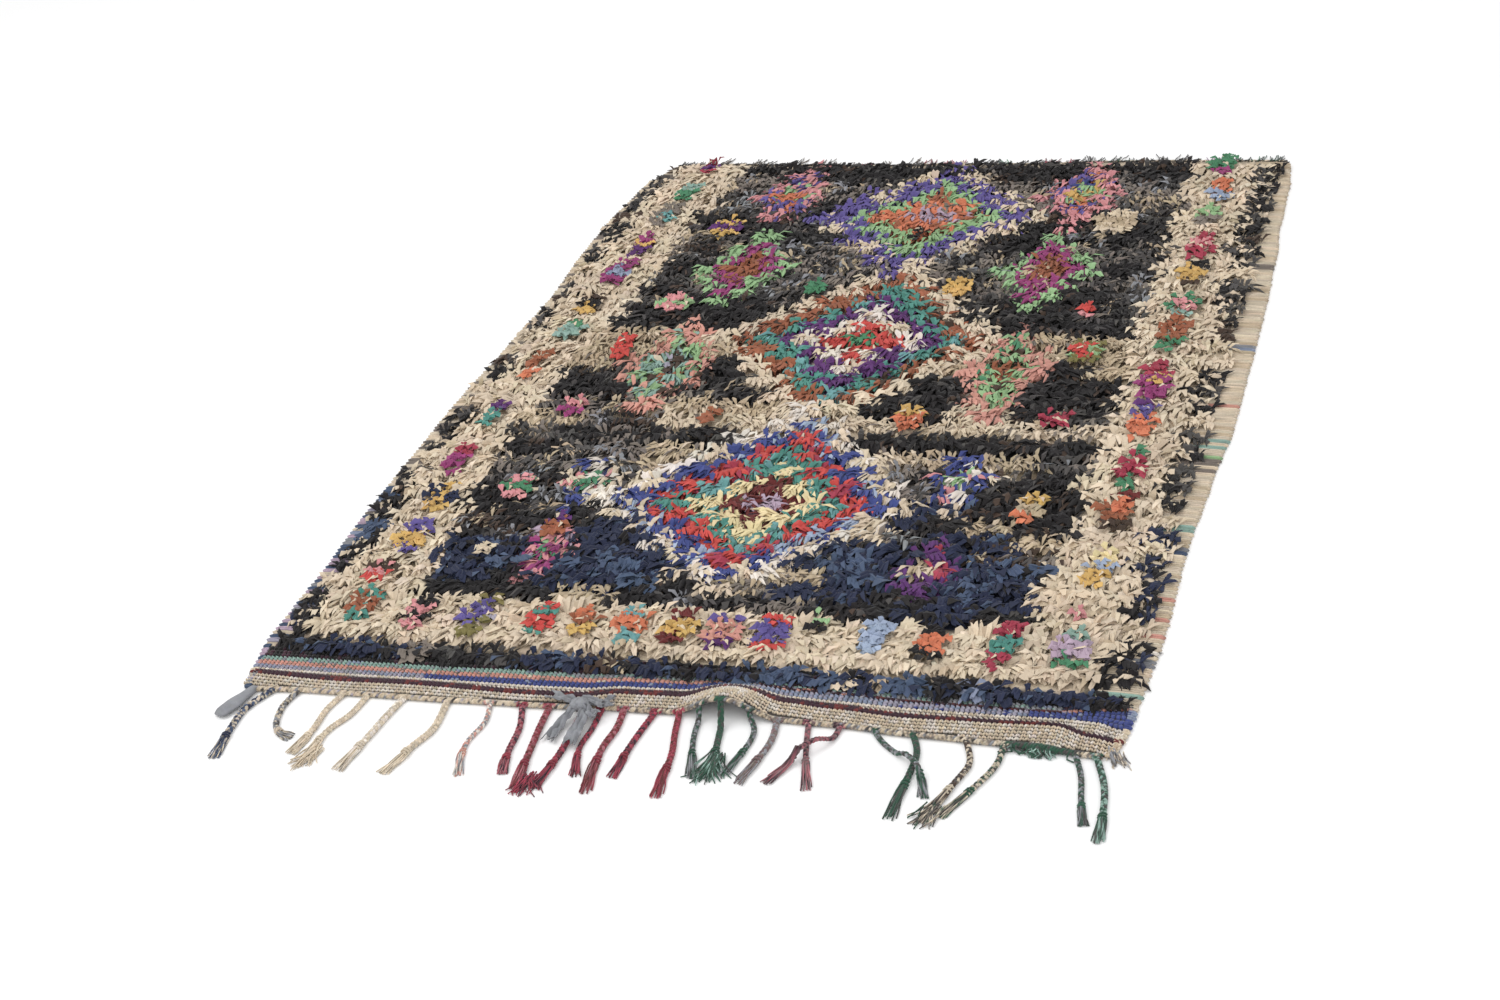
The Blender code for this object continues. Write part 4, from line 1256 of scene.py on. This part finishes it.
plaitForm = {
    "step": 0.0018,
    "pitch": 2.1,  # length of one whole crossing round, as a multiple of the width
    "sway": 0.27, "bob": 0.13, "strand": 0.47, "fuller": 1.18,
    "tasselFrom": 0.74,
    "drop": 0.026, "slope": 1.3,
    "overReach": 0.030, "overLift": 0.0115,
    "hairs": 19,
    "hairThick": 0.0024, "hairSwing": 0.0022,
    "ownYarn": 0.45, "colours": 61,
}
quarters = (0.0, 0.25, 0.5, 0.75, 1.0)


def curveThrough(points, share):
    spans = len(points) - 1
    span = min(int(share * spans), spans - 1)
    part = share * spans - span
    before, start = points[max(span - 1, 0)], points[span]
    end, after = points[span + 1], points[min(span + 2, spans)]
    turn, leave = (end - before) * 0.5, (after - start) * 0.5
    cube, square = part ** 3, part ** 2
    return (start * (2 * cube - 3 * square + 1) + turn * (cube - 2 * square + part)
            + end * (3 * square - 2 * cube) + leave * (cube - square))


def plaitLine(row, floor, steps):  # the middle line of a plait that lies on the floor
    root = cordMiddle(row.root)
    corners = [Vector((root.x, root.y, 0.0))] + [world(*place) for place in (row.knee, row.shin, row.tip)]
    length = sum((end - start).length for start, end in zip(corners, corners[1:]))
    steps = steps or round(length / plaitForm["step"])
    drop = max(plaitForm["drop"], plaitForm["slope"] * root.z)
    line = []
    for step in range(steps + 1):
        point = curveThrough(corners, step / steps)
        left = 1.0 - smooth(length * step / steps / drop)
        point.z = floor + max(0.0, root.z - floor) * left
        if row.over:
            distance = (Vector((point.x, point.y, 0.0)) - world(*row.over)).length
            near = smooth(1.35 - distance / plaitForm["overReach"])
            point.z = max(point.z, floor + plaitForm["overLift"] * near)
        line.append(point)
    return line, length


def sideways(line, index):
    run = line[min(index + 1, len(line) - 1)] - line[max(index - 1, 0)]
    return Vector((-run.y, run.x, 0.0)).normalized()


def braid(row, dice):
    row = row._replace(thick=row.thick * plaitForm["fuller"])
    floor = row.thick * 0.5 * (2 * plaitForm["bob"] + plaitForm["strand"])
    line, length = plaitLine(row, floor, None)
    last = round(len(line) * plaitForm["tasselFrom"])
    strandThick = row.thick * plaitForm["strand"]
    pitch = plaitForm["pitch"] * row.thick
    names = row.yarns.split()
    for strand, name in enumerate(names):
        points = []
        for index in range(last):
            angle = 2 * math.pi * (length * index / len(line) / pitch + strand / 3)
            side = sideways(line, index) * math.sin(angle) * plaitForm["sway"] * row.thick
            rise = math.sin(2 * angle) * plaitForm["bob"] * row.thick
            points.append((line[index] + side + Vector((0, 0, rise)), strandThick))
        mixed = []
        for _ in range(plaitForm["colours"]):
            chosen = name if dice.random() < plaitForm["ownYarn"] else dice.choice(names)
            mixed.append(dyed(chosen, dice, 0.16))
        addPath("plaited_fringe", points, mixed)
    wrapKnot(row, line, last, names[0], dice)
    tassel(row, line, last, names, dice)


def wrapKnot(row, line, last, name, dice):  # the yarn tied round a plait's end
    turns, steps = 2.2, 18
    radius = row.thick * 0.42
    points = []
    for step in range(steps + 1):
        share = step / steps
        index = min(len(line) - 1, last - 2 + round(share * 4))
        angle = 2 * math.pi * turns * share
        place = line[index] + sideways(line, index) * math.cos(angle) * radius * 1.25
        place.z += math.sin(angle) * radius * 0.85
        place.z = max(place.z, row.thick * 0.2)
        points.append((place, row.thick * 0.36))
    addPath("plaited_fringe", points, dyed(name, dice, 0.1))


def tassel(row, line, last, names, dice):  # the loose ends past the knot
    rest = len(line) - last
    for hair in range(plaitForm["hairs"]):
        fan = (hair / (plaitForm["hairs"] - 1) - 0.5) * 2 + dice.uniform(-0.15, 0.15)
        reach = dice.uniform(0.70, 1.10)
        rise = dice.uniform(0.2, 1.3)
        wave = dice.uniform(-1.0, 1.0)
        points = []
        for share in quarters:
            index = min(len(line) - 1, last - 3 + round((rest + 2) * share * reach))
            opened = 0.45 + 0.75 * share ** 0.6
            swing = plaitForm["hairSwing"] * wave * math.sin(5.0 * share)
            place = line[index] + sideways(line, index) * (fan * opened * row.thick * 0.66 + swing)
            thick = plaitForm["hairThick"] * (1.0 - 0.30 * share)
            place.z = max(thick * 0.5, line[index].z * (0.25 + 1.1 * rise * (1.0 - 0.70 * share)))
            points.append((place, thick))
        addPath("plaited_fringe", points, [dyed(dice.choice(names), dice, 0.18) for _ in quarters])


def cordColour(across, strand, dice):  # the cord takes up the plaits' yarns where they are tied in
    close = [row for row in plaits if abs(row.root - across) < 0.009]
    if close and across > 0.40 and dice.random() < 0.7:
        return choose(close[0].yarns, dice.random())
    if 1.14 < across < 1.24:
        return choose("yarnGreen yarnGreen charcoal", dice.random())
    if across < 0.5:
        names = "ecru sand grey lavender taupe charcoal" if strand else "ecru sand cream"
    else:
        names = "taupe grey sand charcoal" if strand else "ecru sand taupe ecru"
    return choose(names, dice.random())


def twineCord():
    dice = random.Random(seeds["cord"])
    first, last = leftEdge(0.0) + cord["end"], rightEdge(0.0) - cord["end"]
    steps = round((last - first) / plaitForm["step"])
    for strand in range(3):
        points, colours = [], []
        for step in range(steps + 1):
            across = first + (last - first) * step / steps
            middle = cordMiddle(across)
            angle = 2 * math.pi * ((last - first) * step / steps / cord["pitch"] + strand / 3)
            uneven = 1.0 + 0.10 * noiseAt(across, 0.0, 0.01, 70.0 + strand)
            swell = cordWidth(across) / cord["thick"] * uneven
            middle.y += math.sin(angle) * 0.0026 * swell
            middle.z += math.cos(angle) * 0.0020 * swell
            middle.z = max(middle.z, cord["strand"] * 0.36)
            points.append((middle, cord["strand"] * 0.80 * swell))
            colours.append(dyed(cordColour(across, strand % 2, dice), dice, 0.12))
        addPath("plaited_fringe", points, colours)


clumpForm = {"hairs": 46, "shift": 0.004, "spread": 0.020, "reach": 0.017, "thick": 0.0021, "floor": 0.0012}


def matClump():  # matted yarn ends that lie over the cord
    dice = random.Random(seeds["clump"])
    for _ in range(clumpForm["hairs"]):
        across = dice.gauss(cord["clumpAcross"] - clumpForm["shift"], clumpForm["spread"])
        start = cordMiddle(across)
        heading = math.radians(dice.uniform(-170, -10))
        points = []
        for share in quarters:
            place = start + Vector((math.cos(heading), math.sin(heading), 0)) * clumpForm["reach"] * share
            heading += dice.uniform(-0.7, 0.7)
            height = start.z * (1.55 - 1.35 * share) + dice.uniform(-0.001, 0.001)
            place.z = max(clumpForm["floor"], height)
            points.append((place, clumpForm["thick"]))
        name = choose("yarnGreen yarnGreen charcoal seaGreen", dice.random())
        addPath("plaited_fringe", points, dyed(name, dice, 0.2))


bushes = table(
    "across along heading reach spread hairs names",
    (0.777, -0.072, -93, 0.048, 17, 80, "yarnGreen yarnGreen charcoal yarnGreen seaGreen"),
    (1.284, 0.000, -62, 0.026, 12, 30, "grey taupe grey ecru"),
    (0.541, -0.146, -96, 0.036, 20, 34, "yarnCrimson crimson aubergine"),
    (0.212, -0.128, -105, 0.038, 18, 30, "ecru sand cream"),
    (1.086, -0.132, -108, 0.040, 16, 30, "ecru charcoal taupe yarnGreen"),
)


bushForm = {"rootSpread": 0.0050, "rise": (0.0015, 0.0075), "thick": 0.0023, "floor": 0.0012}


def growBushes():  # tassels that lie together
    dice = random.Random(seeds["bushes"])
    for place in bushes:
        for _ in range(place.hairs):
            heading = math.radians(place.heading + dice.gauss(0.0, place.spread * 0.5))
            root = Vector([dice.gauss(0.0, bushForm["rootSpread"]) for _ in range(2)] + [0.0])
            reach = place.reach * dice.uniform(0.6, 1.1)
            rise = dice.uniform(*bushForm["rise"])
            bend = dice.uniform(-0.5, 0.5)
            points = []
            for share in quarters:
                turn = heading + bend * share
                ahead = Vector((math.cos(turn), math.sin(turn), 0)) * reach * share
                point = world(place.across, place.along) + root + ahead
                point.z = max(bushForm["floor"], rise * (1.0 - 0.8 * share * share))
                points.append((point, bushForm["thick"] * (1.0 - 0.3 * share)))
            colours = [dyed(choose(place.names, dice.random()), dice, 0.18) for _ in quarters]
            addPath("plaited_fringe", points, colours)


braidDice = random.Random(seeds["plaits"])
for row in plaits:
    braid(row, braidDice)
growBushes()
twineCord()
matClump()
fringe = spinPiece("plaited_fringe", 5)
print(f"stage 7: plaited fringe has {len(fringe.data.polygons)} faces")

# The frayed far end
farForm = {"locks": 40, "margin": 0.030, "leftLimit": 0.052, "rightLimit": 0.046, "cord": 0.0065,
           "short": 0.018, "long": 0.044, "lean": 0.012, "hairs": 7,
           "cordSteps": 240, "hairThick": 0.0022, "hairHeight": 0.0055, "strand": 0.0036}
farParts = table(
    "until names",
    (0.060, "black charcoal"), (0.420, "black charcoal taupe"), (0.470, "crimson black"),
    (0.550, "charcoal taupe"), (0.640, "crimson maroon crimson"), (0.700, "black taupe"),
    (0.735, "green yarnGreen"), (0.800, "charcoal black"), (0.870, "maroon crimson charcoal"),
    (0.940, "black charcoal"), (0.980, "yarnGreen charcoal"), (1.110, "black charcoal"),
    (1.155, "purple lilac"), (1.262, "yarnGreen green black"), (1.400, "ecru cream"),
)


def frayFarEnd():
    dice = random.Random(seeds["frays"])
    pitch = (cloth["width"] - 2 * farForm["margin"]) / farForm["locks"]
    half = halfSide(farForm["cord"])
    for number in range(farForm["locks"]):
        slip = 0.2 * noise.noise(Vector((number * 0.7, 0.0, 2.9)))
        across = farForm["margin"] + pitch * (number + 0.5 + slip)
        across = min(max(across, farForm["leftLimit"]), cloth["width"] - farForm["rightLimit"])
        share = min(1.0, max(0.0, 0.5 + noise.noise(Vector((number * 0.83, 0.0, 5.7)))))
        length = farForm["short"] + (farForm["long"] - farForm["short"]) * share
        lean = farForm["lean"] * noise.noise(Vector((number * 0.61, 0.0, 8.1)))
        names = next(part.names for part in farParts if across < part.until)
        for _ in range(farForm["hairs"]):
            root = across + dice.uniform(-0.013, 0.013)
            reach = length * dice.uniform(0.45, 1.0)
            side = lean + dice.uniform(-0.008, 0.008)
            points = []
            for part in quarters:
                place = world(root + side * part ** 2, farEdge(root) - 0.004 + (reach + 0.004 + half) * part)
                height = farForm["hairHeight"] * (1.0 - part * 1.1) + dice.uniform(0, 0.003) * (1.0 - part)
                place.z = max(farForm["hairThick"] / 2, height)
                points.append((place, farForm["hairThick"] * (1.0 - 0.3 * part)))
            addPath("frayed_end", points, dyed(choose(names, dice.random()), dice, 0.2))
    steps = farForm["cordSteps"]
    first, last = leftEdge(cloth["length"]) + 0.004, rightEdge(cloth["length"]) - 0.004
    for strand in range(2):
        points, colours = [], []
        for step in range(steps + 1):
            across = first + (last - first) * step / steps
            angle = 2 * math.pi * (step / 5 + strand / 2)
            y = farEdge(across) + cord["gap"] + half + math.sin(angle) * 0.0013
            points.append((world(across, y, half + math.cos(angle) * 0.0010), farForm["strand"]))
            colours.append(dyed("ecru" if strand else "charcoal", dice, 0.15))
        addPath("frayed_end", points, colours)


frayFarEnd()
frays = spinPiece("frayed_end", 4)
print("stage 8: far end frayed")

# The grey rag knotted over the near edge
ragFlaps = table(
    "root tip rootWidth tipWidth",
    ((0.552, 0.004, 0.0130), (0.500, 0.022, 0.0086), 0.012, 0.020),
    ((0.560, 0.004, 0.0130), (0.597, 0.019, 0.0086), 0.012, 0.018),
    ((0.547, 0.000, 0.0110), (0.534, -0.068, 0.0020), 0.012, 0.021),
    ((0.564, -0.002, 0.0120), (0.574, -0.078, 0.0086), 0.013, 0.022),
    ((0.556, 0.006, 0.0160), (0.590, 0.004, 0.0150), 0.010, 0.016),
    ((0.556, -0.002, 0.0160), (0.588, -0.018, 0.0120), 0.010, 0.017),
)
ragTie = {
    "knot": (0.556, 0.000, 0.0148), "knotSize": (0.028, 0.023, 0.017), "thick": 0.00084,
    "pleats": 0.0058, "crush": 0.0045, "rowsAcross": 12, "ragged": (-0.16, 0.10),
}


def makeRagTie():
    dice = random.Random(seeds["rag"])
    shape = bmesh.new()
    for flap in ragFlaps:
        root, tip = world(*flap.root), world(*flap.tip)
        run = tip - root
        side = Vector((-run.y, run.x, 0.0)).normalized()
        strip = bmesh.ops.create_grid(shape, x_segments=22, y_segments=ragTie["rowsAcross"], size=0.5)
        ragged = [dice.uniform(*ragTie["ragged"]) for _ in range(ragTie["rowsAcross"] + 1)]
        phase = dice.uniform(0, 6)
        for point in strip["verts"]:
            share, spread = point.co.x + 0.5, point.co.y * 2.0
            width = flap.rootWidth + (flap.tipWidth - flap.rootWidth) * share
            fall = root.z + (tip.z - root.z) * smooth(share * 1.25)
            crush = noise.noise(Vector((share * 6.0, spread * 1.6, phase * 3.0)))
            wave = math.cos(spread * 7.5 + phase + 3.0 * share + 2.0 * crush)
            pleat = ragTie["pleats"] * (0.6 + 0.4 * wave)
            end = ragged[round((spread + 1) * ragTie["rowsAcross"] / 2)] * smooth((share - 0.75) / 0.25)
            middle = root + run * (share + end)
            sway = 0.0022 * math.sin(4.0 * share + phase)
            height = max(0.0008, fall + pleat * (1.0 - 0.3 * share) + ragTie["crush"] * crush)
            aside = width * 0.5 * spread * (1.0 + 0.2 * crush) + sway
            point.co = Vector((middle.x, middle.y, height)) + side * aside
    knot = bmesh.ops.create_icosphere(shape, subdivisions=4, radius=0.5)["verts"]
    centre = world(*ragTie["knot"])
    sizes = Vector(ragTie["knotSize"])
    for point in knot:
        stretched = Vector((point.co.x * 4.0, point.co.y * 9.0, point.co.z * 4.0))
        fold = noise.noise(stretched + Vector((3, 1, 7)))
        groove = abs(math.sin(7.0 * point.co.x + 4.0 * point.co.z + 3.0 * fold))
        scale = 0.80 + 0.22 * groove + 0.14 * fold
        point.co = Vector([part * size * scale for part, size in zip(point.co, sizes)]) + centre
    tie = meshObject("grey_rag", fromBmesh("grey_rag", shape))
    thicken = tie.modifiers.new("thickness", "SOLIDIFY")
    thicken.thickness = ragTie["thick"]
    thicken.offset = 1.0
    bpy.context.view_layer.update()
    mesh = bpy.data.meshes.new_from_object(tie.evaluated_get(bpy.context.evaluated_depsgraph_get()))
    tie.modifiers.clear()
    tie.data = mesh
    dice = random.Random(seeds["ragDye"])
    # painted shade and light: the rag is painted lighter and darker in noise patches about a centimetre
    # across, standing in for the shade and light of its crumples
    shades = [0.66 + 0.80 * (0.5 + 0.5 * noise.noise(point.co * 90.0)) for point in mesh.vertices]
    setAttribute(mesh, "dye", "FLOAT_COLOR", flat(dyed("grey", dice, 0.05, 0.9) for _ in mesh.vertices))
    setAttribute(mesh, "shade", "FLOAT", shades)
    mesh.materials.append(ragCloth)
    mesh.shade_smooth()
    return tie


tie = makeRagTie()


# The broad bound end of grey rag at the near left corner
boundForm = {"floor": 0.0052, "rings": 16, "sides": 12}
boundEnds = table(
    "root knee shin tip thick yarns over",
    (0.047, (0.042, -0.032), (0.033, -0.054), (0.024, -0.076), 0.0150, "grey"),
)


def makeBoundEnd():
    line, _ = plaitLine(boundEnds[0], boundForm["floor"], boundForm["rings"])
    sides = boundForm["sides"]
    shape = bmesh.new()
    rings = []
    for index, place in enumerate(line):
        share = index / (len(line) - 1)
        wide = 0.0066 + 0.0055 * smooth(share * 1.6) - 0.0045 * smooth((share - 0.86) / 0.14)
        high = 0.0048 - 0.0020 * smooth((share - 0.8) / 0.2)
        side = sideways(line, index)
        ring = []
        for step in range(sides):
            angle = 2 * math.pi * step / sides
            crease = 1.0 - 0.16 * math.cos(3 * angle + 4 * share)
            point = place + side * math.cos(angle) * wide * crease
            point.z = max(0.0003, place.z + math.sin(angle) * high * crease)
            ring.append(shape.verts.new(point))
        rings.append(ring)
    for low, high in zip(rings, rings[1:]):
        for step in range(sides):
            after = (step + 1) % sides
            shape.faces.new((low[step], low[after], high[after], high[step]))
    shape.faces.new(rings[0][::-1])
    shape.faces.new(rings[-1])
    bmesh.ops.recalc_face_normals(shape, faces=shape.faces)
    end = meshObject("bound_end", fromBmesh("bound_end", shape))
    dice = random.Random(seeds["boundDye"])
    setAttribute(end.data, "dye", "FLOAT_COLOR", flat(dyed("grey", dice, 0.03) for _ in end.data.vertices))
    setAttribute(end.data, "shade", "FLOAT", [1.0] * len(end.data.vertices))
    end.data.materials.append(ragCloth)
    end.data.shade_smooth()
    return end


boundEnd = makeBoundEnd()
print("stage 9: rag tie and bound end made")

# The shapes that were set out are no longer needed
for home in (shelf, stitchShelf):
    for thing in list(home.objects):
        bpy.data.objects.remove(thing)
    bpy.data.collections.remove(home)


def fit(piece, node):
    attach(piece, "root")
    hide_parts(node)


fit(ground, "ground_weave")
fit(band, "ground_weave")
fit(selvedges, "ground_weave")
for piece in pilePieces:
    fit(piece, "rag_pile")
fit(fringe, "fringe_near")
fit(boundEnd, "fringe_near")
fit(frays, "fringe_far")
fit(tie, "rag_tie")

# Floor and light
studio = {"floorSize": 14.0, "floorTone": 0.93, "skyTone": 1.0, "skyStrength": 0.95}


def addStudio():
    shape = bmesh.new()
    bmesh.ops.create_grid(shape, x_segments=1, y_segments=1, size=studio["floorSize"] / 2)
    floor = meshObject("floor", fromBmesh("floor", shape))
    floor.location.z = -0.0005
    material = bpy.data.materials.new("floor_paper")
    material.use_nodes = True
    shader = material.node_tree.nodes["Principled BSDF"]
    shader.inputs["Base Color"].default_value = (studio["floorTone"],) * 3 + (1.0,)
    shader.inputs["Roughness"].default_value = 0.9
    floor.data.materials.append(material)
    sky = bpy.data.worlds.new("studio")
    bpy.context.scene.world = sky
    sky.use_nodes = True
    sky.node_tree.nodes["Background"].inputs["Color"].default_value = (studio["skyTone"],) * 3 + (1.0,)
    sky.node_tree.nodes["Background"].inputs["Strength"].default_value = studio["skyStrength"]
    for name, place, size, power in (
        ("key", (-1.8, -0.6, 3.4), 2.6, 42.0),
        ("fill", (1.6, -3.0, 2.2), 2.8, 24.0),
    ):
        data = bpy.data.lights.new(name, "AREA")
        data.size = size
        data.energy = power
        lamp = bpy.data.objects.new(name, data)
        lamp.location = place
        lamp.rotation_mode = "QUATERNION"
        lamp.rotation_quaternion = (-Vector(place)).to_track_quat("-Z", "Y")
        bpy.context.scene.collection.objects.link(lamp)
    bpy.context.scene.view_settings.view_transform = "Standard"


addStudio()
bpy.context.view_layer.update()
print("stage 10: everything in place")
